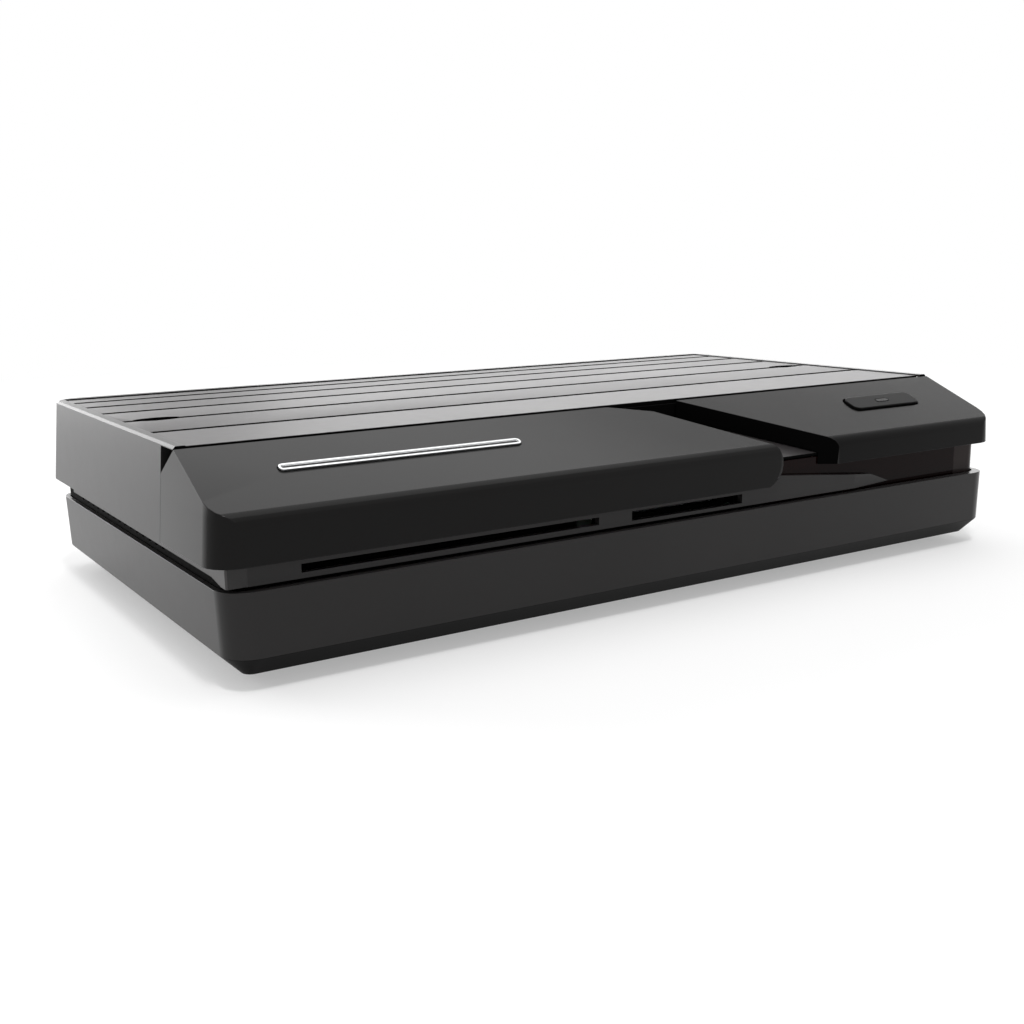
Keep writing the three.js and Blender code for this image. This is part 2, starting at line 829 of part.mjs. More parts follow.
const tabX = halfWidth - frameSideInset + meetGap;
const tabBack = notchBack - meetGap;

function bonnetPlan(inset) {
  const edge = bonnetEnd - inset * Math.hypot(1, bonnetLean);
  const back = slopeEnd - inset;
  const shoulderY = bonnetShoulderY - inset;
  const tab = inset ? [[-farSide, back]] : [[-tabX, back], [-tabX, tabBack], [-farSide, tabBack]];
  return rounded([
    [-farSide, 0],
    [edge, 0, inset ? 0 : bonnetTipRadius],
    [edge - bonnetLean * shoulderY, shoulderY],
    [bonnetShoulderX - inset, back],
    ...tab,
  ]);
}

function frontBonnet() {
  const body = common(upperForm(), prismZ(bonnetPlan(0), 0, farTop), frontProfile([[0, upperBottom]]));
  const hollow = common(
    prismZ(bonnetPlan(shellWall), 0, farTop),
    frameClear(0, farTop),
    underSlope(shellSkin / slopeCos),
  );
  const frameSpace = common(frameClear(0, farTop), underRoof(meetGap));
  const lapLeft = lipCorner - meetGap - halfWidth;
  const lap = box(lapLeft, bonnetEnd + overrun, lapDepth, frameFrontInset, 0, lapTop);
  const seat = capsule(
    trimLength + 2 * fineGap,
    trimWidth + 2 * fineGap,
    (trimWidth + fineGap) * halfShare,
    -trimSink,
    overrun,
  );
  return cut(body, hollow, frameSpace, lap, toSolid(seat.applyMatrix4(slopeMatrix(trimX, trimY))));
}
add('front_bonnet', frontBonnet(), 'glossBlack');

function trimBar() {
  const radius = (trimWidth - fineGap) * halfShare;
  const bar = capsule(trimLength, trimWidth, radius, fineGap - trimSink, trimHeight);
  return toSolid(bar.applyMatrix4(slopeMatrix(trimX, trimY)));
}
add('trim_bar', trimBar(), 'chrome');

function hoodPlan(inset) {
  const edge = hoodStart + inset * Math.hypot(1, hoodLean);
  const back = slopeEnd - inset;
  const tab = inset ? [[farSide, back]] : [[farSide, tabBack], [tabX, tabBack], [tabX, back]];
  return rounded([
    [edge, 0, inset ? 0 : hoodTipRadius],
    [farSide, 0],
    ...tab,
    [edge - hoodLean * back, back],
  ]);
}

function frontHood() {
  const low = [[0, hoodBottom], [hoodSideBack, upperBottom], [hoodSideLow, hoodBottom]];
  const body = common(upperForm(), prismZ(hoodPlan(0), 0, farTop), frontProfile(low));
  const hollow = common(
    prismZ(hoodPlan(shellWall), 0, farTop),
    frameClear(0, farTop),
    underSlope(shellSkin / slopeCos),
  );
  const frameSpace = common(frameClear(0, farTop), underRoof(meetGap));
  const opening = capsule(
    buttonLength + 2 * meetGap,
    buttonWidth + 2 * meetGap,
    buttonRadius + meetGap,
    -overrun,
    overrun,
  );
  return cut(body, hollow, frameSpace, atButton(opening));
}
add('front_hood', frontHood(), 'glossBlack');

// Inner frame
const frameRing = () => cut(
  prismZ(casePlan(frameSideInset, frameFrontInset, frameBackInset, frameRadius), frameBottom, farTop),
  prismZ(
    casePlan(
      frameSideInset + frameWall,
      frontInside,
      frameBackInset + frameWall,
      frameRadius - frameWall,
    ),
    0,
    farTop + overrun,
  ),
);
const roofThickness = frameWall / slopeCos;
const edgeBack = frameFrontInset + roofEdgeRun;
const roofLow = Math.min(roofZ(frameFrontInset) - roofEdge, roofZ(edgeBack) - roofThickness);
const windowHigh = roofLow - meetGap;
const windowZone = (gap) => box(
  windowStart - gap,
  farSide,
  -overrun,
  windowWrap + gap,
  windowLow - gap,
  windowHigh + gap,
);

function innerFrame() {
  const wallProfile = prismX([
    new THREE.Vector2(0, 0),
    new THREE.Vector2(farBack, 0),
    new THREE.Vector2(farBack, frameTop),
    new THREE.Vector2(roofBack, frameTop),
    new THREE.Vector2(roofBack, roofFlat),
    new THREE.Vector2(slopeEnd, roofFlat),
    new THREE.Vector2(0, roofZ(0)),
  ], -farSide, farSide);
  const roofProfile = prismX([
    new THREE.Vector2(frameFrontInset, roofZ(frameFrontInset)),
    new THREE.Vector2(slopeEnd, roofFlat),
    new THREE.Vector2(roofBack, roofFlat),
    new THREE.Vector2(roofBack, roofFlat - frameWall),
    new THREE.Vector2(slopeEnd, roofFlat - frameWall),
    new THREE.Vector2(edgeBack, roofZ(edgeBack) - roofThickness),
    new THREE.Vector2(frameFrontInset, roofZ(frameFrontInset) - roofEdge),
  ], -farSide, farSide);
  const around = casePlan(frameSideInset, frameFrontInset, frameBackInset, frameRadius);
  const plan = prismZ(around, frameBottom, farTop);
  const walls = cut(common(frameRing(), wallProfile), windowZone(meetGap));
  let frame = join(walls, common(plan, roofProfile));
  for (const [place, x, y] of caseScrewPlaces) {
    if (place.startsWith('front')) {
      const boss = common(drum(x, y, deckLevel, farTop, frameBossRadius), underRoof(-roofEdge));
      const pilot = drum(x, y, 0, caseScrewSeat + caseScrewLength + baseFloor, holeRadius, smallSides);
      frame = cut(join(frame, boss), pilot);
    }
  }
  for (const [, sign] of sides) {
    const x = (sign * keyPostSpacing) / 2;
    const foot = meetGap - keyBoardDepth;
    const post = drumShape(x, 0, foot, frameWall / 2 - roofUnder, keyPostRadius, smallSides);
    const bore = smallScrewRadius + meetGap;
    const pilot = drumShape(x, 0, -keyBoardDepth, smallScrewLength - keyBoardDepth, bore, smallSides);
    frame = cut(join(frame, atButton(post)), atButton(pilot));
  }
  const stemHole = drumShape(0, 0, -roofUnder - meetGap, 0, roofHoleRadius, roundSides);
  const slotSpan = (left, right, low, height) => box(
    left - storeMargin,
    right + storeMargin,
    0,
    frontInside + fineGap,
    low - storeMargin,
    low + height + storeMargin,
  );
  frame = cut(
    frame,
    atButton(stemHole),
    slotSpan(cardSlotLeft, cardSlotRight, cardSlotLow, cardSlotHeight),
    slotSpan(storeSlotLeft, storeSlotRight, storeSlotLow, storeSlotHeight),
  );
  const openEdge = halfWidth - rearOpenInset;
  frame = cut(frame, box(-openEdge, openEdge, rearFront, farBack, 0, farTop));
  for (let y = sideSlotFront; y < caseDepth - sideSlotBack; y += sideSlotPitch) {
    frame = cut(frame, block(0, y, baseHeight + sideSlotLift, 2 * farSide, sideSlotWidth, sideSlotHeight));
  }
  return frame;
}
add('inner_frame', innerFrame(), 'matteBlack');

// Display window: the stretch of the ring wall that wraps the right front corner
add('display_window', common(frameRing(), windowZone(0)), 'darkRed');

function frontLip() {
  const outer = casePlan(lipSide, lipFront, frameBackInset, cornerRadius - lipFront);
  const band = common(
    cut(prismZ(outer, lipLow, upperBottom - meetGap), frameClear(0, farTop)),
    box(-farSide, lipTip, -overrun, lipWrap, 0, farTop),
  );
  const wrapCut = prismX([
    new THREE.Vector2(lipWrapStart, 0),
    new THREE.Vector2(farBack, 0),
    new THREE.Vector2(farBack, upperBottom),
    new THREE.Vector2(lipWrap, upperBottom - meetGap),
    new THREE.Vector2(lipWrapStart, lipLow),
  ], -farSide, farSide);
  const tongue = prismY(rounded([
    [lipCorner - halfWidth, lipLow],
    [lipTip - lipTurn, lipLow],
    [lipTip, lipTipLow],
    [lipHighEnd, lipHighRight, lipTurn / 2],
    [lipHighStart, lipHighLeft],
    [lipCorner - halfWidth, lipHighLeft],
  ]), lipFront, frameFrontInset - meetGap);
  const rightEnd = common(
    band,
    box(-farSide, lipTip - lipTurn, -overrun, farBack, 0, farTop),
  );
  const turnCut = prismZ([
    new THREE.Vector2(lipTip - lipTurn, 0),
    new THREE.Vector2(lipTip + overrun, 0),
    new THREE.Vector2(lipTip + overrun, frameFrontInset),
    new THREE.Vector2(lipTip, frameFrontInset - 2 * meetGap),
    new THREE.Vector2(lipTip - lipTurn, lipFront),
  ], 0, farTop);
  const slot = (left, right, low, height) => box(left, right, 0, frameFrontInset, low, low + height);
  return cut(
    join(rightEnd, tongue),
    wrapCut,
    turnCut,
    slot(cardSlotLeft, cardSlotRight, cardSlotLow, cardSlotHeight),
    slot(storeSlotLeft, storeSlotRight, storeSlotLow, storeSlotHeight),
  );
}
add('front_lip', frontLip(), 'satinBlack');

// Power button with its flange and stem, modelled in the frame on the slope
const flangeTop = meetGap + shellSkin;
const stemEnd = keyBoardDepth - meetGap - switchHeight - plungerHeight / 2 - meetGap;

function powerButton() {
  const cap = toSolid(capsule(buttonLength, buttonWidth, buttonRadius, -flangeTop - fineGap, buttonProud));
  const flange = toSolid(capsule(
    buttonLength + 2 * buttonFlange,
    buttonWidth + 2 * buttonFlange,
    buttonRadius + buttonFlange,
    -flangeTop - buttonFlangeDepth,
    -flangeTop,
  ));
  const stemTop = fineGap - flangeTop - buttonFlangeDepth;
  const stem = toSolid(drumShape(0, 0, -stemEnd, stemTop, stemRadius, smallSides));
  const pocket = toSolid(capsule(
    pipeLength + 2 * fineGap,
    pipeWidth + 2 * fineGap,
    pipeWidth * halfShare,
    buttonProud - pipeDepth,
    overrun,
  ));
  return cut(join(cap, flange, stem), pocket);
}
add('power_button', powerButton(), 'glossBlack', slopeGroup);

const pipeLow = buttonProud - pipeDepth + fineGap;
const pipeHigh = buttonProud + pipeProud;
const lightPipe = capsule(pipeLength, pipeWidth, pipeWidth * pipeRoundShare, pipeLow, pipeHigh);
add('button_light_pipe', toSolid(lightPipe), 'paleLens', slopeGroup);

// Push switch: a body with a well, and the plunger that stands in it
const switchLow = meetGap - keyBoardDepth;
const switchTop = switchLow + switchHeight;
const well = drumShape(0, 0, switchTop - switchWell, overrun, plungerRadius + meetGap, smallSides);
const switchBody = cut(
  block(0, 0, switchLow, switchSize, switchSize, switchHeight),
  toSolid(well),
);
add('switch_body', switchBody, 'darkPlastic', slopeGroup);

const plungerTop = -stemEnd - meetGap;
const plunger = drumShape(0, 0, plungerTop - plungerHeight, plungerTop, plungerRadius, smallSides);
add('switch_plunger', toSolid(plunger), 'darkPlastic', slopeGroup);

// Key board on its posts, two small screws and the ribbon down to the main board
let keyBoard = block(0, 0, keyBoardLow, keyBoardLength, keyBoardWidth, boardThickness);
for (const [, sign] of sides) {
  const x = (sign * keyPostSpacing) / 2;
  const hole = drumShape(x, 0, -overrun - keyBoardDepth, 0, smallScrewRadius + meetGap, smallSides);
  keyBoard = cut(keyBoard, toSolid(hole));
}
add('key_board', keyBoard, 'boardGreen', slopeGroup);

// Screw standing on its point: shaft up from low, head above it, cross recess in the head
function screw(x, y, low, length, radius, headRadius, headHeight, facing = 1) {
  const seat = low + facing * length;
  const top = seat + facing * headHeight;
  const span = (a, b) => [Math.min(a, b), Math.max(a, b)];
  const shaft = drum(x, y, ...span(low, seat + facing * fineGap), radius, smallSides);
  const head = drum(x, y, ...span(seat, top), headRadius);
  const [recessLow, recessHigh] = span(top - facing * headHeight * halfShare, top + facing * overrun);
  const arm = 2 * headRadius * crossShare;
  const deep = recessHigh - recessLow;
  const across = block(x, y, recessLow, arm, screwRecessWidth, deep);
  const along = block(x, y, recessLow, screwRecessWidth, arm, deep);
  return cut(join(shaft, head), across, along);
}

for (const [side, sign] of sides) {
  const tip = keyBoardLow - meetGap + smallScrewLength;
  const x = (sign * keyPostSpacing) / 2;
  const small = screw(
    x,
    0,
    tip,
    smallScrewLength,
    smallScrewRadius,
    smallScrewHeadRadius,
    smallScrewHeadHeight,
    -1,
  );
  add(`key_board_screw_${side}`, small, 'screwSteel', slopeGroup);
}
for (const [place, x, y] of caseScrewPlaces) {
  const tip = caseScrewSeat - meetGap + caseScrewLength;
  const solid = screw(x, y, tip, caseScrewLength, screwRadius, screwHeadRadius, screwHeadHeight, -1);
  add(`case_screw_${place}`, solid, 'screwSteel');
}
for (const [place, x, y] of boardScrewPlaces) {
  const tip = deckLevel - boardScrewLength;
  const solid = screw(x, y, tip, boardScrewLength, screwRadius, screwHeadRadius, screwHeadHeight);
  add(`board_screw_${place}`, solid, 'screwSteel');
}

const ribbonTop = (depth, up) => [
  buttonY + up * slopeCos + depth * Math.sin(slopeAngle),
  slopeZ(buttonY) + up * Math.sin(slopeAngle) - depth * slopeCos,
];
const [ribbonY, ribbonZ] = ribbonTop(-keyBoardLow + meetGap, keyBoardWidth / 2 - ribbonThickness);
const [turnY, turnZ] = ribbonTop(-keyBoardLow + meetGap + ribbonBend, keyBoardWidth / 2 - ribbonThickness);
const ribbon = prismX([
  new THREE.Vector2(ribbonY, ribbonZ),
  new THREE.Vector2(turnY, turnZ),
  new THREE.Vector2(turnY, deckLevel),
  new THREE.Vector2(turnY + ribbonThickness, deckLevel),
  new THREE.Vector2(turnY + ribbonThickness, turnZ),
  new THREE.Vector2(ribbonY + ribbonThickness * slopeCos, ribbonZ + ribbonThickness * Math.sin(slopeAngle)),
], buttonX - ribbonWidth / 2, buttonX + ribbonWidth / 2);
add('key_ribbon', ribbon, 'ribbonWhite');

// Main board
const boardEdge = halfWidth - boardSideInset;
const boardOutline = rectangle(-boardEdge, boardEdge, boardFrontInset, boardBack, boardCorner);
let mainBoard = prismZ(boardOutline, boardLevel, boardTop);
for (const [, x, y] of [...caseScrewPlaces, ...boardScrewPlaces]) {
  mainBoard = cut(mainBoard, drum(x, y, 0, caseHeight, holeRadius, smallSides));
}
add('main_board', mainBoard, 'boardGreen');

// Processor under its heat sink, memory, power parts and the radio module
add('processor_chip', block(chipX, chipY, deckLevel, chipSize, chipSize, chipHeight), 'darkPlastic');
const sinkLow = deckLevel + chipHeight + meetGap;
let heatSink = block(chipX, chipY, sinkLow, sinkWidth, sinkBack - sinkFront, sinkHeight);
const finPitch = (sinkWidth - sinkFinThickness) / (sinkFinCount - 1);
for (let i = 0; i < sinkFinCount - 1; i += 1) {
  const left = chipX - sinkWidth / 2 + sinkFinThickness + i * finPitch;
  const right = left + finPitch - sinkFinThickness;
  heatSink = cut(heatSink, box(left, right, 0, caseDepth, sinkLow + sinkBase, caseHeight));
}
add('heat_sink', heatSink, 'aluminium');
for (let i = 0; i < memoryCount; i += 1) {
  const y = chipRow + (i - (memoryCount - 1) / 2) * memoryPitch;
  const chip = block(memoryX, y, deckLevel, memoryLength, memoryWidth, memoryHeight);
  add(`memory_chip_${i + 1}`, chip, 'darkPlastic');
}
const flashX = halfWidth * flashPlaceShare;
add('flash_chip', block(flashX, chipRow, deckLevel, flashSize, flashSize, memoryHeight), 'darkPlastic');
const coilX = halfWidth * inductorPlaceShare;
const coilHalf = inductorSize / 2;
const coilOutline = rectangle(
  coilX - coilHalf,
  coilX + coilHalf,
  coilY - coilHalf,
  coilY + coilHalf,
  inductorSize * coilRoundShare,
);
add('power_inductor', prismZ(coilOutline, deckLevel, deckLevel + inductorHeight), 'darkPlastic');
const capacitorX = halfWidth * capacitorPlaceShare;
for (let i = 0; i < capacitorCount; i += 1) {
  const y = mouthY - dcDepth - capacitorGap - capacitorRadius - i * capacitorPitch;
  const can = drum(capacitorX, y, deckLevel, deckLevel + capacitorHeight, capacitorRadius);
  add(`capacitor_${i + 1}`, can, 'aluminium');
}
const radioX = halfWidth * radioPlaceShare;
add('radio_module', block(radioX, chipRow, deckLevel, radioLength, radioWidth, radioHeight), 'steel');

// Card readers on their board, on standoffs over the main board
const readerBoardLeft = readerBoardInset - halfWidth;
const readerBoardRight = storeX + storeWidth / 2 + storeBoardMargin;
const readerTop = readerBoardLevel + boardThickness;
const readerBoard = box(
  readerBoardLeft,
  readerBoardRight,
  readerFront,
  readerBoardBack,
  readerBoardLevel,
  readerTop,
);
add('reader_board', readerBoard, 'boardGreen');
const standoffPlaces = [
  ['front_left', readerBoardLeft + standoffInset, readerFront + standoffInset],
  ['front_right', readerBoardRight - standoffInset, readerFront + standoffInset],
  ['rear_left', readerBoardLeft + standoffInset, readerBoardBack - standoffInset],
  ['rear_right', readerBoardRight - standoffInset, readerBoardBack - standoffInset],
];
for (const [place, x, y] of standoffPlaces) {
  const standoff = drum(x, y, deckLevel, readerBoardLevel - meetGap, standoffRadius, hexSides);
  add(`standoff_${place}`, standoff, 'nickel');
}
const headerX = (readerBoardLeft + readerBoardRight) / 2;
const header = block(
  headerX,
  readerBoardBack - standoffInset,
  deckLevel,
  headerLength,
  headerWidth,
  readerBoardLevel - meetGap - deckLevel,
);
add('board_header', header, 'darkPlastic');

// Block on the reader board with a flat mouth towards the front
function slotReader(x, width, depth, height, mouthWidth, mouthDepth, mouthLow, mouthHeight) {
  return cut(
    block(x, readerFront + depth / 2, readerDeck, width, depth, height),
    box(
      x - mouthWidth / 2,
      x + mouthWidth / 2,
      0,
      readerFront + mouthDepth,
      mouthLow,
      mouthLow + mouthHeight,
    ),
  );
}
const cardMouthLow = cardSlotLow + (cardSlotHeight - readerMouthHeight) / 2;
const cardReader = slotReader(
  cardSlotX,
  readerWidth,
  readerDepth,
  readerHeight,
  readerMouth,
  readerMouthDepth,
  cardMouthLow,
  readerMouthHeight,
);
add('smart_card_reader', cardReader, 'steel');
const storeMouthLow = storeSlotLow + (storeSlotHeight - storeMouthHeight) / 2;
const storeSocket = slotReader(
  storeX,
  storeWidth,
  storeDepth,
  storeHeight,
  storeMouth,
  storeMouthDepth,
  storeMouthLow,
  storeMouthHeight,
);
add('memory_card_socket', storeSocket, 'steel');

// Front board behind the window, with the remote control receiver and the status lamps
const frontBoardLeft = readerBoardRight + frontBoardStep;
const frontBoardBack = frontBoardFront + boardThickness;
const frontBoard = box(
  frontBoardLeft,
  halfWidth - frontBoardInset,
  frontBoardFront,
  frontBoardBack,
  deckLevel,
  frontBoardTop,
);
add('front_board', frontBoard, 'boardGreen');
const irX = frontBoardLeft + irStep;
const irBack = frontBoardFront - meetGap;
const irFront = irBack - irDepth + irDome / 2;
const irLow = irLevel - irHeight / 2;
const irReceiver = join(
  box(irX - irWidth / 2, irX + irWidth / 2, irFront, irBack, irLow, irLow + irHeight),
  drumY(irX, irLevel, irFront - irDome / 2, irFront + fineGap, irDome, smallSides),
);
add('remote_receiver', irReceiver, 'glossBlack');
for (let i = 0; i < ledCount; i += 1) {
  const x = frontBoardLeft + ledStep + i * ledPitch;
  const lamp = drumY(x, irLevel, irBack - ledLength, irBack, ledRadius, smallSides);
  add(`status_lamp_${i + 1}`, lamp, 'paleLens');
}

// Rear panel, and sockets whose mouths stand just proud of it
const socketBlock = (x, width, height, depth) =>
  box(x - width / 2, x + width / 2, mouthY - depth, mouthY, deckLevel, deckLevel + height);
const mouth = (x, low, width, height, depth) =>
  box(x - width / 2, x + width / 2, mouthY - depth, mouthY + overrun, low, low + height);
const dcMiddle = deckLevel + dcHeight / 2;
const jackMiddle = deckLevel + jackHeight / 2;

function rearPanel() {
  const edge = halfWidth - frameSideInset - frameWall - rearSideGap;
  let panel = box(-edge, edge, rearFront, rearBack, rearBottom, coverInside - 2 * meetGap);
  const holes = [
    [dcX, dcWidth, dcHeight],
    [lanX, lanWidth, lanHeight],
    [usbX, usbWidth, usbHeight],
    [hdmiX, hdmiWidth, hdmiHeight],
  ];
  for (const [x, width, height] of holes) {
    const reach = width / 2 + meetGap;
    const high = deckLevel + height + meetGap;
    panel = cut(panel, box(x - reach, x + reach, 0, farBack, deckLevel - meetGap, high));
  }
  panel = cut(panel, drumY(jackX, jackMiddle, 0, farBack, jackBarrelRadius + meetGap));
  for (const [, sign] of sides) {
    const x = tunerX + (sign * aerialSpacing) / 2;
    panel = cut(panel, drumY(x, aerialLevel, 0, farBack, aerialRadius + meetGap));
  }
  const firstSlot = -(rearSlotPitch * (rearSlotCount - 1)) / 2;
  for (let i = 0; i < rearSlotCount; i += 1) {
    const x = firstSlot + i * rearSlotPitch;
    panel = cut(panel, block(x, rearBack, rearSlotLow, rearSlotWidth, 2 * overrun, rearSlotHeight));
  }
  return panel;
}
add('rear_panel', rearPanel(), 'matteBlack');

const dcRoot = mouthY - dcMouthDepth;
const dcInlet = join(
  cut(
    socketBlock(dcX, dcWidth, dcHeight, dcDepth),
    drumY(dcX, dcMiddle, dcRoot, farBack, dcMouthRadius),
  ),
  drumY(dcX, dcMiddle, dcRoot - fineGap, mouthY - socketProud, dcPinRadius, smallSides),
);
add('dc_inlet', dcInlet, 'darkPlastic');

const lanClipLow = deckLevel + lanMouthLow - lanClipHeight;
const lanSocket = cut(
  socketBlock(lanX, lanWidth, lanHeight, lanDepth),
  mouth(lanX, deckLevel + lanMouthLow, lanMouthWidth, lanMouthHeight, lanMouthDepth),
  mouth(lanX, lanClipLow, lanClipWidth, lanClipHeight + lanMouthHeight, lanMouthDepth),
);
add('lan_socket', lanSocket, 'steel');

function usbSocket() {
  let stack = socketBlock(usbX, usbWidth, usbHeight, usbDepth);
  for (const row of [-1, 1]) {
    const low = deckLevel + usbHeight / 2 + (row * usbPitch) / 2 - usbMouthHeight / 2;
    const tongueLow = low + usbMouthHeight / 2;
    stack = cut(stack, mouth(usbX, low, usbMouthWidth, usbMouthHeight, usbMouthDepth));
    const root = mouthY - usbMouthDepth;
    const tongue = box(
      usbX - usbTongueWidth / 2,
      usbX + usbTongueWidth / 2,
      root - fineGap,
      root + usbTongueLength,
      tongueLow,
      tongueLow + usbTongueHeight,
    );
    stack = join(stack, tongue);
  }
  return stack;
}
add('usb_socket', usbSocket(), 'steel');

function hdmiSocket() {
  const low = deckLevel + (hdmiHeight - hdmiMouthHeight) / 2;
  const wide = hdmiMouthWidth / 2;
  const narrow = wide - hdmiShoulder;
  const outline = [
    new THREE.Vector2(hdmiX - narrow, low),
    new THREE.Vector2(hdmiX + narrow, low),
    new THREE.Vector2(hdmiX + wide, low + hdmiShoulder),
    new THREE.Vector2(hdmiX + wide, low + hdmiMouthHeight),
    new THREE.Vector2(hdmiX - wide, low + hdmiMouthHeight),
    new THREE.Vector2(hdmiX - wide, low + hdmiShoulder),
  ];
  const root = mouthY - hdmiMouthDepth;
  const tongueLow = low + (hdmiMouthHeight - hdmiTongueHeight) / 2;
  const tongue = box(
    hdmiX - hdmiTongueWidth / 2,
    hdmiX + hdmiTongueWidth / 2,
    root - fineGap,
    mouthY - hdmiShoulder,
    tongueLow,
    tongueLow + hdmiTongueHeight,
  );
  const body = socketBlock(hdmiX, hdmiWidth, hdmiHeight, hdmiDepth);
  return join(cut(body, prismY(outline, root, farBack)), tongue);
}
add('hdmi_socket', hdmiSocket(), 'steel');

const jackBack = rearFront - meetGap;
const jackEnd = rearBack + jackBarrelLength;
const jackBody = block(jackX, jackBack - jackDepth / 2, deckLevel, jackWidth, jackDepth, jackHeight);
const audioJack = cut(
  join(jackBody, drumY(jackX, jackMiddle, jackBack - fineGap, jackEnd, jackBarrelRadius)),
  drumY(jackX, jackMiddle, jackEnd - jackBoreDepth, farBack, jackBore, smallSides),
);
add('audio_jack', audioJack, 'darkPlastic');

// Tuner can, and the two threaded aerial connectors that come out of it through the panel
const seamLow = deckLevel + tunerHeight - tunerSeam;
const tunerCan = cut(
  block(tunerX, boardBack - tunerDepth / 2, deckLevel, tunerWidth, tunerDepth, tunerHeight),
  block(tunerX, boardBack, seamLow, tunerSeam, 2 * caseDepth, tunerHeight),
);
add('tuner_can', tunerCan, 'steel');

function aerialConnector(x) {
  const front = boardBack + meetGap;
  const nutFront = rearBack + meetGap;
  const threadStart = nutFront + aerialHexLength - front;
  const end = overallDepth - front;
  const ridge = (end - threadStart) / aerialRidges;
  const profile = [[0, 0], [aerialRadius, 0]];
  for (let i = 0; i < aerialRidges; i += 1) {
    const start = threadStart + i * ridge;
    profile.push([aerialRadius, start], [aerialRoot, start + ridge * halfShare]);
  }
  const cupFloor = end - aerialCupDepth;
  const boreFloor = end - aerialBoreDepth;
  profile.push([aerialRadius, end], [aerialCup, end], [aerialCup, cupFloor]);
  profile.push([aerialBore, cupFloor], [aerialBore, boreFloor], [0, boreFloor]);
  const nut = drumY(x, aerialLevel, nutFront, nutFront + aerialHexLength, aerialHexRadius, hexSides);
  return join(turnedY(profile, x, aerialLevel, front), nut);
}
for (const [side, sign] of sides) {
  add(`aerial_connector_${side}`, aerialConnector(tunerX + (sign * aerialSpacing) / 2), 'nickel');
}

export default receiver;
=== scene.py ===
# Looks of a desktop satellite television receiver, dressed over its CAD frame.
# Lengths in the dictionaries are millimetres where no note says otherwise.
import math

import bmesh
import bpy
from mathutils import Matrix, Vector


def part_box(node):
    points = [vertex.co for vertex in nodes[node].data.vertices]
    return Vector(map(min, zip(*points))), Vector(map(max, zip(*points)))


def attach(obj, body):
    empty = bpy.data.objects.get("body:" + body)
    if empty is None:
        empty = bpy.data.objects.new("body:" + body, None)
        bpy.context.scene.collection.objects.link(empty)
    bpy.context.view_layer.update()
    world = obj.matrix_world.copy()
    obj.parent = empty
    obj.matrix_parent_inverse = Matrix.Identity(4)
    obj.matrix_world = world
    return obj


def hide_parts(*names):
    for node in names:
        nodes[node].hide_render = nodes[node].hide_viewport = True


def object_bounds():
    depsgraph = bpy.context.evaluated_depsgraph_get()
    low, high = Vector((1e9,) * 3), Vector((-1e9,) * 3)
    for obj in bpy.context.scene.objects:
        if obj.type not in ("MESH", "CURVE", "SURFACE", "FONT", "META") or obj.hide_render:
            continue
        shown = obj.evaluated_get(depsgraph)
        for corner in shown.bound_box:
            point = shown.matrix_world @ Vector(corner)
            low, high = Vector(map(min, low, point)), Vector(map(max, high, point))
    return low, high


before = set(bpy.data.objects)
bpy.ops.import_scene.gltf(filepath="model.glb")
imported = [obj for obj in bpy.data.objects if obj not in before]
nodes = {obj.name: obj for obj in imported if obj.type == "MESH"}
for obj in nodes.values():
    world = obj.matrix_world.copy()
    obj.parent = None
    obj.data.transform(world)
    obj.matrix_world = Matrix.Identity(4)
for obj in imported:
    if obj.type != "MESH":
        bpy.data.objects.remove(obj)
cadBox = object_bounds()
mm = 0.001
print("frame loaded:", len(nodes), "nodes")


# Camera at the photograph's angle: turns in radians, clipping in metres
view = {"place": (-181.003, -274.418, 79.982), "yaw": 0.5714, "pitch": 0.2085, "roll": -0.0135, "focal": 43.17,
        "sensor": 36, "clip": (0.01, 50)}


def aimCamera(spec):
    yaw, pitch, roll = spec["yaw"], spec["pitch"], spec["roll"]
    ahead = Vector((math.sin(yaw) * math.cos(pitch), math.cos(yaw) * math.cos(pitch), -math.sin(pitch)))
    right = Vector((math.cos(yaw), -math.sin(yaw), 0))
    up = right.cross(ahead)
    turnedRight = math.cos(roll) * right + math.sin(roll) * up
    turnedUp = math.cos(roll) * up - math.sin(roll) * right
    optics = bpy.data.cameras.new("camera")
    optics.lens, optics.sensor_width = spec["focal"], spec["sensor"]
    optics.clip_start, optics.clip_end = spec["clip"]
    camera = bpy.data.objects.new("camera", optics)
    bpy.context.scene.collection.objects.link(camera)
    turn = Matrix((turnedRight, turnedUp, -ahead)).transposed().to_4x4()
    camera.matrix_world = Matrix.Translation(Vector(spec["place"]) * mm) @ turn
    bpy.context.scene.camera = camera


aimCamera(view)
bpy.context.scene.view_settings.view_transform = "Standard"


# A socket of a node tree: arithmetic on it adds Math nodes
class Wire:
    def __init__(self, tree, socket):
        self.tree = tree
        self.socket = socket

    def maths(self, operation, *values, clamp=False):
        return self.tree.node("ShaderNodeMath", {"operation": operation, "use_clamp": clamp}, dict(enumerate(values)))

    def __add__(self, other):
        return self.maths("ADD", self, other)

    def __radd__(self, other):
        return self.maths("ADD", other, self)

    def __sub__(self, other):
        return self.maths("SUBTRACT", self, other)

    def __rsub__(self, other):
        return self.maths("SUBTRACT", other, self)

    def __mul__(self, other):
        return self.maths("MULTIPLY", self, other)

    def __rmul__(self, other):
        return self.maths("MULTIPLY", other, self)

    def __truediv__(self, other):
        return self.maths("DIVIDE", self, other)

    def __rtruediv__(self, other):
        return self.maths("DIVIDE", other, self)

    def __pow__(self, other):
        return self.maths("POWER", self, other)

    def __rpow__(self, other):
        return self.maths("POWER", other, self)

    def above(self, edge):
        return self.maths("GREATER_THAN", self, edge)

    def below(self, edge):
        return self.maths("LESS_THAN", self, edge)

    def atLeast(self, other):
        return self.maths("MAXIMUM", self, other)

    def held(self):
        return self.maths("ADD", self, 0.0, clamp=True)


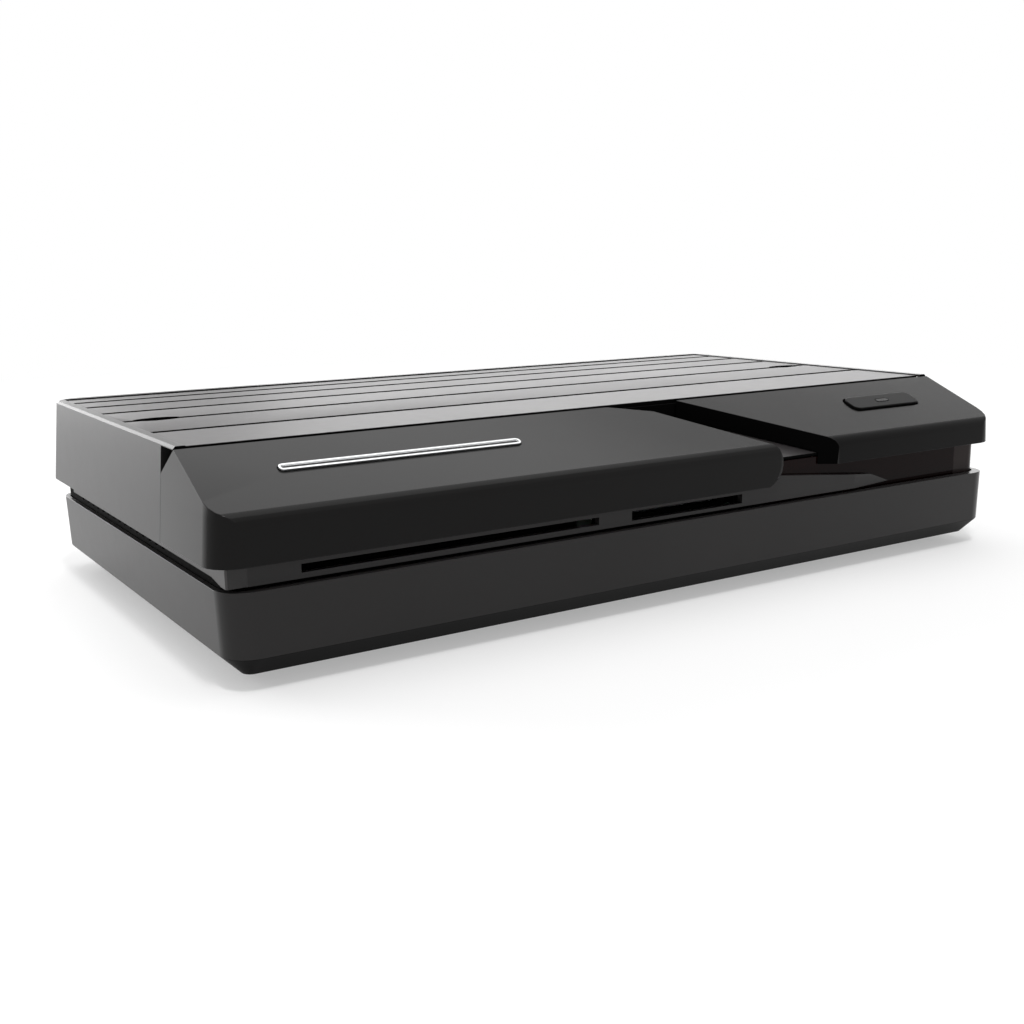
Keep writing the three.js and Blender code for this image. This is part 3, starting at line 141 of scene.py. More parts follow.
# A node tree under construction, for a material, the world or Geometry Nodes
class Tree:
    def __init__(self, tree):
        self.tree = tree

    def node(self, kind, settings=None, inputs=None, output=0):
        made = self.tree.nodes.new(kind)
        for key, value in (settings or {}).items():
            setattr(made, key, value)
        for key, value in (inputs or {}).items():
            self.put(made.inputs[key], value)
        return Wire(self, made.outputs[output])

    def put(self, socket, value):
        for each in value if isinstance(value, list) else [value]:
            if isinstance(each, Wire):
                self.tree.links.new(each.socket, socket)
            else:
                socket.default_value = each

    def other(self, wire, output):
        return Wire(self, wire.socket.node.outputs[output])

    def spread(self, vector):
        first = self.node("ShaderNodeSeparateXYZ", None, {"Vector": vector})
        return first, self.other(first, 1), self.other(first, 2)

    def seen(self):
        ray = self.node("ShaderNodeLightPath", output="Is Camera Ray")
        return ray.atLeast(self.other(ray, "Is Glossy Ray")).atLeast(self.other(ray, "Is Transmission Ray"))


# One finish: a Principled shader with patterns on Object coordinates. Gleam is its specular level
class Finish(Tree):
    def __init__(self, name, gleam=None, constants=None):
        self.material = bpy.data.materials.new(name)
        self.material.use_nodes = True
        super().__init__(self.material.node_tree)
        self.shader = self.tree.nodes["Principled BSDF"]
        if gleam is not None:
            self.set("Specular IOR Level", gleam)
        for key, value in (constants or {}).items():
            self.set(key, value)
        self.place = self.node("ShaderNodeTexCoord", output="Object")

    def set(self, socket, value):
        self.put(self.shader.inputs[socket], value)

    def done(self, colour, roughness, normal):
        self.set("Base Color", colour)
        self.set("Roughness", roughness.held())
        self.set("Normal", normal)
        return self.material

    def stretched(self, x, y, z):
        return self.node("ShaderNodeMapping", None, {"Vector": self.place, "Scale": (x, y, z)})

    def noise(self, size, detail=2.0, roughness=0.5, at=None, distortion=0.0):
        return self.node("ShaderNodeTexNoise", None, {
            "Vector": at or self.place, "Scale": 1 / (size * mm), "Detail": detail, "Roughness": roughness,
            "Distortion": distortion})

    def cells(self, size):
        return self.node("ShaderNodeTexVoronoi", None, {"Vector": self.place, "Scale": 1 / (size * mm)})

    # A wave of scale 1 repeats every 0.314 of its coordinate
    def waves(self, size, axis, at=None, distortion=0.0):
        return self.node("ShaderNodeTexWave", {"bands_direction": axis}, {
            "Vector": at or self.place, "Scale": 0.314 / (size * mm), "Distortion": distortion}, "Fac")

    def blend(self, amount, first, second):
        return self.node("ShaderNodeMix", {"data_type": "RGBA"}, {0: amount, 6: first, 7: second}, output=2)

    def tinted(self, amount, colour, low, high):
        dark = tuple(c * low for c in colour) + (1,)
        light = tuple(min(1, c * high) for c in colour) + (1,)
        return self.blend(amount, dark, light)

    def bump(self, height, depth, strength, under=None):
        values = {"Height": height, "Strength": strength, "Distance": depth * mm}
        if under:
            values["Normal"] = under
        return self.node("ShaderNodeBump", None, values)


# Moulded black plastics
satin = {"colour": (0.0165, 0.0155, 0.0155), "roughness": 0.30, "gleam": 0.19, "grain": 0.22, "grainDepth": 0.006}
gloss = {"colour": (0.0052, 0.0047, 0.0045), "roughness": 0.17, "gleam": 0.18, "swirl": 26, "speck": 1.1,
         "dust": (0.08, 0.08, 0.078, 1)}
matte = {"colour": (0.0012, 0.00115, 0.00115), "roughness": 0.62, "gleam": 0.015, "grain": 0.3, "grainDepth": 0.02}
slat = {"colour": (0.026, 0.0235, 0.024), "roughness": 0.36, "gleam": 0.41, "streak": 0.5, "streakDepth": 0.010}


def satinBlack():
    finish = Finish("satinBlack", satin["gleam"])
    fine = finish.noise(satin["grain"], detail=3.0, roughness=0.6)
    pits = finish.cells(satin["grain"] * 1.6)
    broad = finish.noise(38)
    rubbed = finish.noise(7, detail=4.0, roughness=0.7)
    grain = finish.bump(fine * 0.6 + pits * 0.4, satin["grainDepth"], 0.55)
    return finish.done(finish.tinted((fine * 0.35 + broad * 0.65).held(), satin["colour"], 0.78, 1.24),
                       satin["roughness"] - 0.05 + fine * 0.06 + rubbed * 0.05, finish.bump(broad, 0.05, 0.25, grain))


def glossBlack():
    finish = Finish("glossBlack", gloss["gleam"])
    swirl = finish.noise(gloss["swirl"], detail=3.0, distortion=1.2)
    hair = finish.noise(0.35, detail=1.0, at=finish.stretched(1, 9, 9))
    dust = finish.cells(gloss["speck"]).below(0.06) * finish.noise(3.1).above(0.6)
    ripple = finish.bump(finish.noise(17, detail=1.0), 0.05, 0.3)
    return finish.done(finish.blend(dust * 0.5, finish.tinted(swirl, gloss["colour"], 0.8, 1.25), gloss["dust"]),
                       gloss["roughness"] - 0.03 + swirl * 0.06 + hair * 0.03 + dust * 0.2,
                       finish.bump(finish.noise(0.25), 0.004, 0.4, ripple))


def matteBlack():
    finish = Finish("matteBlack", matte["gleam"])
    grain = finish.noise(matte["grain"], detail=3.0, roughness=0.65)
    return finish.done(finish.tinted(grain * 0.5 + finish.noise(22) * 0.5, matte["colour"], 0.75, 1.3),
                       matte["roughness"] + grain * 0.1, finish.bump(grain, matte["grainDepth"], 0.6))


# The slats' own finish; its lighter colour also stands on the channel floor and the wing's flank as painted reflection
# and highlight
def slatBlack():
    finish = Finish("slatBlack", slat["gleam"])
    streak = finish.noise(slat["streak"], detail=3.0, at=finish.stretched(0.12, 1, 1))
    fine = finish.noise(satin["grain"])
    broad = finish.noise(45)
    return finish.done(finish.tinted((streak * 0.4 + broad * 0.6).held(), slat["colour"], 0.8, 1.2),
                       slat["roughness"] + streak * 0.07 + broad * 0.05,
                       finish.bump(fine * 0.5 + streak * 0.5, slat["streakDepth"], 0.5))


# Display window: near black with a red cast, and a paler strip at its right end
window = {"colour": (0.0060, 0.0016, 0.0015), "strip": (0.032, 0.025, 0.024, 1), "stripFrom": 97.5, "haze": 9.0,
          "gleam": 0.05, "glass": {"Transmission Weight": 0.04, "IOR": 1.46}}


def windowRed():
    finish = Finish("windowRed", window["gleam"], window["glass"])
    haze = finish.noise(window["haze"], detail=3.0)
    x, y, z = finish.spread(finish.place)
    strip = ((x / mm - window["stripFrom"]) * 2).held()
    return finish.done(finish.blend(strip, finish.tinted(haze, window["colour"], 0.75, 1.2), window["strip"]),
                       0.07 + haze * 0.05, finish.bump(finish.noise(14), 0.04, 0.3))


# Plain metals share one build: streaks along an axis, stains and fine scratches
def metal(name, colour, roughness, streakAxis=(1, 1, 1), streak=0.6, depth=0.004):
    finish = Finish(name, None, {"Metallic": 1.0})
    lines = finish.noise(streak, detail=4.0, roughness=0.7, at=finish.stretched(*streakAxis))
    stain = finish.noise(6, detail=3.0)
    return finish.done(finish.tinted((lines * 0.4 + stain * 0.6).held(), colour, 0.82, 1.1),
                       roughness - 0.05 + lines * 0.1 + stain * 0.06, finish.bump(lines, depth, 0.5))


def plainPlastic(name, colour, roughness, gleam=None, grain=0.3, depth=0.01):
    finish = Finish(name, gleam)
    fine = finish.noise(grain, detail=3.0)
    broad = finish.noise(grain * 30)
    return finish.done(finish.tinted((fine * 0.4 + broad * 0.6).held(), colour, 0.85, 1.15),
                       roughness - 0.04 + fine * 0.08, finish.bump(fine, depth, 0.5))


def rubberBlack():
    finish = Finish("rubberBlack", 0.25)
    dusty = finish.noise(1.2, detail=4.0, roughness=0.7)
    return finish.done(finish.tinted(dusty, (0.018, 0.018, 0.018), 0.7, 1.9), 0.78 + dusty * 0.15,
                       finish.bump(dusty, 0.03, 0.7))


# Circuit board: solder mask over copper tracks that run in two directions, with plated holes
board = {"mask": (0.006, 0.075, 0.030, 1), "track": (0.018, 0.17, 0.06, 1), "plating": (0.62, 0.55, 0.36, 1),
         "across": 1.3, "along": 1.5, "zone": 19, "hole": 3.4}


def boardGreen():
    finish = Finish("boardGreen", None, {"Coat Weight": 0.25, "Coat Roughness": 0.2})
    across = finish.waves(board["across"], "X", finish.stretched(1, 0.02, 1), 2.0).above(0.62)
    along = finish.waves(board["along"], "Y", finish.stretched(0.02, 1, 1), 2.0).above(0.62)
    zone = finish.noise(board["zone"], detail=0.0).above(0.5)
    tracks = (across * zone + along * (1 - zone)).held()
    holes = finish.cells(board["hole"]).below(0.13)
    finish.set("Metallic", holes * 0.9)
    return finish.done(finish.blend(holes, finish.blend(tracks * 0.8, board["mask"], board["track"]), board["plating"]),
                       0.38 - holes * 0.1 + finish.noise(0.4) * 0.06, finish.bump(tracks + holes * 0.5, 0.03, 0.6))


def ribbonWhite():
    finish = Finish("ribbonWhite", 0.4)
    strips = finish.waves(0.5, "X").above(0.45)
    return finish.done(finish.blend(strips * 0.55, (0.60, 0.58, 0.53, 1), (0.50, 0.51, 0.53, 1)), 0.42 + strips * 0.1,
                       finish.bump(strips, 0.04, 0.6))


def lens(name, colour, gleam=0.5):
    finish = Finish(name, gleam, {"Transmission Weight": 0.35, "IOR": 1.49})
    cloud = finish.noise(0.8)
    return finish.done(finish.tinted(cloud, colour, 0.88, 1.12), 0.16 + cloud * 0.1, finish.bump(cloud, 0.01, 0.4))


finishes = {
    "satin_black": satinBlack(),
    "gloss_black": glossBlack(),
    "matte_black": matteBlack(),
    "window_red": windowRed(),
    "chrome": metal("chromePlate", (0.58, 0.585, 0.59), 0.2, (1, 6, 6), 1.4, 0.001),
    "pale_lens": lens("paleLens", (0.66, 0.70, 0.73)),
    "rubber": rubberBlack(),
    "dark_plastic": plainPlastic("darkPlastic", (0.026, 0.026, 0.027), 0.5),
    "board_green": boardGreen(),
    "ribbon_white": ribbonWhite(),
    "aluminium": metal("aluminium", (0.62, 0.63, 0.64), 0.42, (12, 1, 12), 0.5),
    "tin_steel": metal("tinSteel", (0.64, 0.65, 0.65), 0.3, (1, 9, 1), 0.7),
    "nickel": metal("nickelPlate", (0.68, 0.65, 0.58), 0.26, (1, 8, 1), 0.4),
    "screw_steel": metal("screwSteel", (0.42, 0.42, 0.43), 0.34, (1, 1, 6), 0.3),
}
slats = slatBlack()
smoked = lens("smokedLens", (0.008, 0.0075, 0.0075), 0.15)
# Darker, duller copy of the gloss black for the bonnet's nose: painted shade
keyBlack = plainPlastic("keyBlack", (0.0042, 0.0039, 0.0038), 0.36, 0.11, 0.25, 0.005)
# Own finish of the button cap; also a darker copy of the gloss black for the hood's nose: painted shade
faceBlack = plainPlastic("faceBlack", (0.0024, 0.0022, 0.0022), 0.36, 0.07, 0.25, 0.005)
# Darker, duller copy of the case plastic for its bottom bevel: painted shade
bevelBlack = plainPlastic("bevelBlack", (0.0019, 0.0018, 0.0018), 0.4, 0.035, 0.25, 0.005)
stripBlack = plainPlastic("stripBlack", satin["colour"], 0.23, 0.25, 0.25, 0.005)
# Darker, duller copy of the case plastic for the cover's left rim: painted shade
rimBlack = plainPlastic("rimBlack", (0.014, 0.013, 0.013), 0.36, 0.1, 0.25, 0.006)
panelBlack = plainPlastic("panelBlack", (0.012, 0.012, 0.0125), 0.55, 0.15, 0.3, 0.02)
socketBlack = plainPlastic("socketBlack", (0.016, 0.016, 0.017), 0.4)
gold = metal("contactGold", (0.83, 0.62, 0.26), 0.22, (1, 8, 1), 0.2, 0.001)
print("finishes made:", len(bpy.data.materials))


# The CAD node of that name, or else all whose names start with it
def named(start):
    return [start] if start in nodes else [name for name in nodes if name.startswith(start)]


# Which finish each CAD node takes
nodeSlots = {
    "satin_black": ["lower_case", "top_cover", "front_lip"],
    "gloss_black": ["front_bonnet", "front_hood", "power_button", "remote_receiver"],
    "matte_black": ["inner_frame", "rear_panel"],
    "window_red": ["display_window"],
    "chrome": ["trim_bar"],
    "pale_lens": ["button_light_pipe", "status_lamp"],
    "rubber": ["foot"],
    "dark_plastic": ["switch", "processor_chip", "memory_chip", "flash_chip", "power_inductor", "board_header",
                     "dc_inlet", "audio_jack"],
    "board_green": ["main_board", "reader_board", "key_board", "front_board"],
    "ribbon_white": ["key_ribbon"],
    "aluminium": ["heat_sink", "capacitor"],
    "tin_steel": ["radio_module", "smart_card_reader", "memory_card_socket", "lan_socket", "usb_socket", "hdmi_socket",
                  "tuner_can"],
    "nickel": ["aerial_connector", "standoff"],
    "screw_steel": ["case_screw", "board_screw", "key_board_screw"],
}
slotOf = {name: slot for slot, starts in nodeSlots.items() for start in starts for name in named(start)}
for name, node in nodes.items():
    node.data.materials.clear()
    node.data.materials.append(finishes[slotOf[name]])
nodes["button_light_pipe"].data.materials[0] = smoked


# Mesh helpers
def newPiece(name, mesh, finish=None):
    piece = bpy.data.objects.new(name, mesh)
    bpy.context.scene.collection.objects.link(piece)
    if finish is not None:
        mesh.materials.clear()
        mesh.materials.append(finish)
    return piece


def opened(mesh):
    shape = bmesh.new()
    shape.from_mesh(mesh)
    return shape


def closed(shape, mesh):
    shape.to_mesh(mesh)
    shape.free()
    return mesh


def boxOf(nodeName):
    low, high = (Vector(corner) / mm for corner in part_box(nodeName))
    return low, high, [(a + b) / 2 for a, b in zip(low, high)]


# A copy of a CAD node with its loose triangles merged, and joined into flat faces unless flat is 0
def mergedCopy(nodeName, flat=0.4):
    shape = opened(nodes[nodeName].data)
    bmesh.ops.remove_doubles(shape, verts=shape.verts, dist=0.002 * mm)
    if flat:
        bmesh.ops.dissolve_limit(shape, angle_limit=math.radians(flat), verts=shape.verts, edges=shape.edges)
    mesh = closed(shape, bpy.data.meshes.new(nodeName + "Shape"))
    if mesh.attributes.get("custom_normal"):
        mesh.attributes.remove(mesh.attributes["custom_normal"])
    return mesh


def boxMesh(name, low, high):
    shape = bmesh.new()
    bmesh.ops.create_cube(shape, size=1.0)
    middle = (Vector(low) + Vector(high)) / 2 * mm
    size = (Vector(high) - Vector(low)) * mm
    for corner in shape.verts:
        corner.co = Vector(a * b for a, b in zip(corner.co, size)) + middle
    return closed(shape, bpy.data.meshes.new(name))


def baked(piece):
    graph = bpy.context.evaluated_depsgraph_get()
    mesh = bpy.data.meshes.new_from_object(piece.evaluated_get(graph), preserve_all_data_layers=True, depsgraph=graph)
    old = piece.data
    piece.modifiers.clear()
    piece.data = mesh
    bpy.data.meshes.remove(old)
    return piece


def carved(piece, cutter):
    tool = newPiece(cutter.name, cutter)
    cut = piece.modifiers.new("cut", "BOOLEAN")
    cut.operation, cut.solver, cut.object = "DIFFERENCE", "EXACT", tool
    baked(piece)
    bpy.data.objects.remove(tool)
    return piece


# Smooth shading that keeps every edge sharper than the angle, in degrees
def evened(piece, angle=38):
    for face in piece.data.polygons:
        face.use_smooth = True
    piece.data.set_sharp_from_angle(angle=math.radians(angle))
    even = piece.modifiers.new("even", "WEIGHTED_NORMAL")
    even.keep_sharp = True
    even.weight = 80
    return baked(piece)


# Rounds the edges sharper than the angle. Chosen gives a convex edge's share of the width from its middle
def softened(piece, width, segments=3, angle=29, chosen=None):
    if chosen:
        shape = opened(piece.data)
        weight = shape.edges.layers.float.new("bevel_weight_edge")
        for side in shape.edges:
            middle = (side.verts[0].co + side.verts[1].co) / 2 / mm
            if len(side.link_faces) == 2 and side.is_convex and side.calc_face_angle() > math.radians(angle):
                side[weight] = float(chosen(middle))
        closed(shape, piece.data)
    edge = piece.modifiers.new("edge", "BEVEL")
    edge.width = width * mm
    edge.segments = segments
    edge.limit_method = "WEIGHT" if chosen else "ANGLE"
    edge.angle_limit = math.radians(angle)
    edge.use_clamp_overlap = True
    edge.harden_normals = False
    edge.miter_outer = "MITER_ARC"
    return evened(baked(piece))


# Gives another finish to the faces that are chosen by their middle, in millimetres, and their normal
def painted(piece, finish, chosen):
    piece.data.materials.append(finish)
    for face in piece.data.polygons:
        if chosen(face.center / mm, face.normal):
            face.material_index = len(piece.data.materials) - 1
    return piece


def sliced(piece, axis, *places):
    shape = opened(piece.data)
    normal = Vector(1.0 if i == axis else 0.0 for i in range(3))
    for place in places:
        every = shape.verts[:] + shape.edges[:] + shape.faces[:]
        bmesh.ops.bisect_plane(shape, geom=every, plane_co=normal * place * mm, plane_no=normal)
    closed(shape, piece.data)
    return piece


# Closed shape turned round an axis, from radius and height pairs that start and end on the axis
def turned(name, profile, centre, finish=None, axis="Z", sides=32):
    rings = []
    shape = bmesh.new()
    for radius, height in profile:
        ring = []
        for i in range(sides if radius > 0 else 1):
            angle = 2 * math.pi * i / sides
            a, b = radius * math.cos(angle), radius * math.sin(angle)
            spot = (a, b, height) if axis == "Z" else (a, height, -b)
            ring.append(shape.verts.new((Vector(spot) + Vector(centre)) * mm))
        rings.append(ring)
    for lower, upper in zip(rings, rings[1:]):
        for i in range(sides):
            j = (i + 1) % sides
            corners = [lower[i % len(lower)], lower[j % len(lower)], upper[j % len(upper)], upper[i % len(upper)]]
            shape.faces.new(list(dict.fromkeys(corners)))
    bmesh.ops.recalc_face_normals(shape, faces=shape.faces)
    return evened(newPiece(name, closed(shape, bpy.data.meshes.new(name)), finish), 35)


# Prism from a flat outline, between two levels of an axis
def prismMesh(name, outline, low, high, axis="Z"):
    shape = bmesh.new()
    rings = []
    for level in (low, high):
        spots = [(a, b, level) if axis == "Z" else (level, a, b) for a, b in outline]
        rings.append([shape.verts.new(Vector(spot) * mm) for spot in spots])
    shape.faces.new(reversed(rings[0]))
    shape.faces.new(rings[1])
    for i in range(len(outline)):
        j = (i + 1) % len(outline)
        shape.faces.new((rings[0][i], rings[0][j], rings[1][j], rings[1][i]))
    bmesh.ops.recalc_face_normals(shape, faces=shape.faces)
    return closed(shape, bpy.data.meshes.new(name))


# Pushes an upright corner sideways by a reach that follows the level
def swollen(piece, right, front, flare):
    sliced(piece, 2, *[level for level, reach in flare[1:]])
    for corner in piece.data.vertices:
        x, y, z = corner.co / mm
        near = min(1, max(0, (x - right + 1.6) / 1.2)) * min(1, max(0, (front + 3 - y) / 2.4))
        for (low, start), (high, end) in zip(flare, flare[1:]):
            if near and low - 0.01 <= z < high:
                corner.co.x += near * (start + (end - start) * (z - low) / (high - low)) * mm
                break
    return piece


# Draws the closely set points of a small corner together, so that its edges can be rounded as one
def gathered(mesh, chosen, reach=0.45):
    shape = opened(mesh)
    bmesh.ops.remove_doubles(shape, verts=[v for v in shape.verts if chosen(v.co / mm)], dist=reach * mm)
    closed(shape, mesh)


# A rounded copy of a CAD node, in the node's own finish unless another is given
def rounded(nodeName, ending, width, finish=None, flat=0.4):
    piece = newPiece(nodeName + ending, mergedCopy(nodeName, flat), finish or finishes[slotOf[nodeName]])
    return softened(piece, width, 2)


# Hands a finished piece to its body, and hides the CAD nodes that it stands for
def settled(piece, *replaced, body="housing", slot=None):
    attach(piece, body)
    if replaced:
        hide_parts(*replaced)
    return piece


# Shells: copies of the solids with their long edges rounded over
shellEdges = {"lower_case": 1.5, "front_bonnet": 1.0, "front_hood": 0.8, "front_lip": 0.25, "display_window": 0.2,
              "rear_panel": 0.12, "inner_frame": 0.12}
shellSegments = {"lower_case": 3, "front_bonnet": 4, "front_hood": 4}
# The bonnet and the hood reach back a little further, to close the seam with the cover
seam = {"behind": -43.6, "back": 0.17}
halfWidth = cadBox[1][0] / mm
# The lip's left end is cut off, since a thin strip takes its place
lipEnd = ((-112, -63.8, 15), (-106.5, -50, 27))
# The bonnet's right front corner swells out below the slope and tucks in again under the nose: level and reach
cornerFlare = [(24.3, -1.9), (24.8, -0.6), (25.5, 0.5), (26.5, 1.5), (27.8, 2.2), (29.3, 2.5), (30.8, 2.4),
               (32.0, 1.95), (33.0, 1.3), (33.8, 0.7), (34.6, 0.0)]
flareCorner = {"right": 28.4, "front": -65.0}
nose = {"rear": -44, "front": -65, "above": 31}
hoodLeft = 50.5


def noseEdge(place):
    return place.y < nose["rear"] and (place.y < nose["front"] or place.z > nose["above"])


# Which edges of the three big shells are rounded: outer ones only, because a rounded hole tangles the flat face
# round it. The lower case's upper rim takes a finer share, and the hole of the button stays crisp
roundedEdges = {
    "lower_case": lambda place: (1.0 if place.z < 12 else 0.45) * (abs(place.x) > 104 or abs(place.y) > 58),
    "front_bonnet": lambda place: noseEdge(place) and not (place.x < -108 and place.y > -60),
    "front_hood": lambda place: noseEdge(place) and not (67 < place.x < 92 and -59 < place.y < -47),
}
gatheredCorners = {"front_bonnet": lambda place: place.x > 26.5, "front_hood": lambda place: 44 < place.x < hoodLeft}
shells = {}
for name, width in shellEdges.items():
    shape = mergedCopy(name, 0 if name in ("rear_panel", "inner_frame") else 0.4)
    shells[name] = newPiece(name + "_shell", shape, finishes[slotOf[name]])
    if name in gatheredCorners:
        for corner in shape.vertices:
            if corner.co.y > seam["behind"] * mm:
                corner.co.y += seam["back"] * mm
        gathered(shape, gatheredCorners[name])
    if name == "front_lip":
        carved(shells[name], boxMesh("end", *lipEnd))
    softened(shells[name], width, shellSegments.get(name, 3), chosen=roundedEdges.get(name))
    if name == "front_bonnet":
        evened(swollen(shells[name], flareCorner["right"], flareCorner["front"], cornerFlare))
    settled(shells[name], name)


# The least height of the normal of a level face, and of a sloping one
levelFace, slopingFace = 0.88, 0.3
bonnetBend = -103


# The faces of a nose, under its slope and round its front edge, which take a darker copy as painted shade
def noseFace(start):
    return lambda place, normal: (place.x > start and -0.2 < normal.z < levelFace and normal.y < -0.4
                                  and (place.x > bonnetBend or normal.z < 0.15))


slotRoom = {"left": -93.6, "right": 18.7, "front": -63.5}
hoodBack = -60
windowShelf = {"left": 100, "rear": -20}
# The matte black: the card readers' black mouths, and painted shade on recesses and dark walls of the shells and deck
matteAndShade = finishes["matte_black"]
shellPaint = [
    # underside, bevel, slots, flank of the hood, noses: darker as painted shade; outside of the rear panel; shelf by
    # the window: painted shade; channel floor: lighter as a painted reflection
    # Underside in the matte black: its rougher texture, and darker than the case as painted shade
    ("lower_case", matteAndShade, lambda place, normal: normal.z < -levelFace),
    # Bottom bevel in a darker, duller copy of the case plastic: painted shade
    ("lower_case", bevelBlack, lambda place, normal: -levelFace < normal.z < -slopingFace),
    # Walls of the lip's slots in the matte black: painted shade in the recesses
    ("front_lip", matteAndShade,
     lambda place, normal: place.y > slotRoom["front"] and slotRoom["left"] < place.x < slotRoom["right"]),
    # The hood's left flank and inner walls in the matte black: painted shade in the channel
    ("front_hood", matteAndShade,
     lambda place, normal: place.x < hoodLeft and normal.z < slopingFace and (normal.x < -0.3 or place.y > hoodBack)),
    # The bonnet's nose in a darker, duller copy of its gloss: painted shade
    ("front_bonnet", keyBlack, noseFace(-halfWidth)),
    # The hood's nose in a darker, duller copy of its gloss: painted shade
    ("front_hood", faceBlack, noseFace(hoodLeft)),
    ("rear_panel", panelBlack, lambda place, normal: normal.y > 0.5),
    # The case's ledge by the window's right end in the matte black, damping its reflection: painted shade
    ("lower_case", matteAndShade,
     lambda place, normal: normal.z > slopingFace and place.x > windowShelf["left"] and place.y < windowShelf["rear"]),
    # The inner frame's sloped roof, the channel floor, in the lighter slat finish: painted reflection
    ("inner_frame", slats, lambda place, normal: normal.z > 0.85 and -0.5 < normal.y < -0.3),
]
for name, finish, chosen in shellPaint:
    painted(shells[name], finish, chosen)

# The lip runs back along the sides as a thin strip under the cover: a wing on the left, a plain strip on the right
strip = {"out": 108.25, "in": 107.72, "front": -64.7, "rear": 46, "low": 21.4, "drop": 20.4, "high": 24.2, "edge": 0.12}
out, inner, front, rear = -strip["out"], -strip["in"], strip["front"], strip["rear"]
plan = [(out, rear), (out, front + 0.35), (out + 0.35, front), (-104.0, front), (-104.0, front + 0.8),
        (inner, front + 0.8), (inner, rear)]
under = [(-62, 19), (-62, strip["drop"]), (-57, strip["low"] - 0.1), (rear + 1, strip["low"]), (rear + 1, 19)]
wing = newPiece("front_lip_wing", prismMesh("wing", plan, strip["drop"], strip["high"]), stripBlack)
# The wing's left flank takes the lighter slat finish: a painted highlight
painted(wing, slats, lambda place, normal: normal.x < -0.7)
carved(wing, prismMesh("under", under, out - 1, inner + 1, axis="X"))
mirror = newPiece("right_strip", boxMesh("strip", (-inner, -49, strip["low"]), (-out, rear, strip["high"])), stripBlack)
for piece in (wing, mirror):
    settled(softened(piece, strip["edge"], 2), slot="satin_black")

# The button cap is drawn a little narrower than its hole, so that the gap reads all round it
cap = {"centre": (79.3, -52.8), "long": 0.985, "short": 0.93, "slope": 0.442, "edge": 0.35}
button = newPiece("power_button_cap", mergedCopy("power_button"), faceBlack)
for corner in button.data.vertices:
    corner.co.x = cap["centre"][0] * mm + (corner.co.x - cap["centre"][0] * mm) * cap["long"]
    inwards = (corner.co.y / mm - cap["centre"][1]) * (1 - cap["short"])
    corner.co -= Vector((0, inwards, inwards * cap["slope"])) * mm
settled(softened(button, cap["edge"]), "power_button", body="button")

# Trim bar: a bright rim round a dark inlay
trim = {"rim": 0.55, "sink": 0.3, "edge": 0.12, "normal": (0, -0.4043, 0.9146)}
bar = opened(mergedCopy("trim_bar"))
lid = [face for face in bar.faces if face.normal.dot(Vector(trim["normal"])) > 0.999]
lid = [max(lid, key=lambda face: face.calc_center_median().z)]
bmesh.ops.inset_region(bar, faces=lid, thickness=trim["rim"] * mm)
drop = lid[0].normal * -trim["sink"] * mm
sunk = bmesh.ops.extrude_face_region(bar, geom=lid)
bmesh.ops.translate(bar, vec=drop, verts=[v for v in sunk["geom"] if isinstance(v, bmesh.types.BMVert)])
bmesh.ops.delete(bar, geom=lid, context="FACES_ONLY")
trimBar = newPiece("trim_bar_rimmed", closed(bar, bpy.data.meshes.new("trimBar")), finishes["chrome"])
softened(trimBar, trim["edge"], 2)
inlay = max(trimBar.data.polygons, key=lambda face: face.area if face.normal.z > 0.8 else 0)
painted(trimBar, finishes["gloss_black"], lambda place, normal: (place - inlay.center / mm).length < 0.01)
settled(trimBar, "trim_bar")
print("shells rounded")


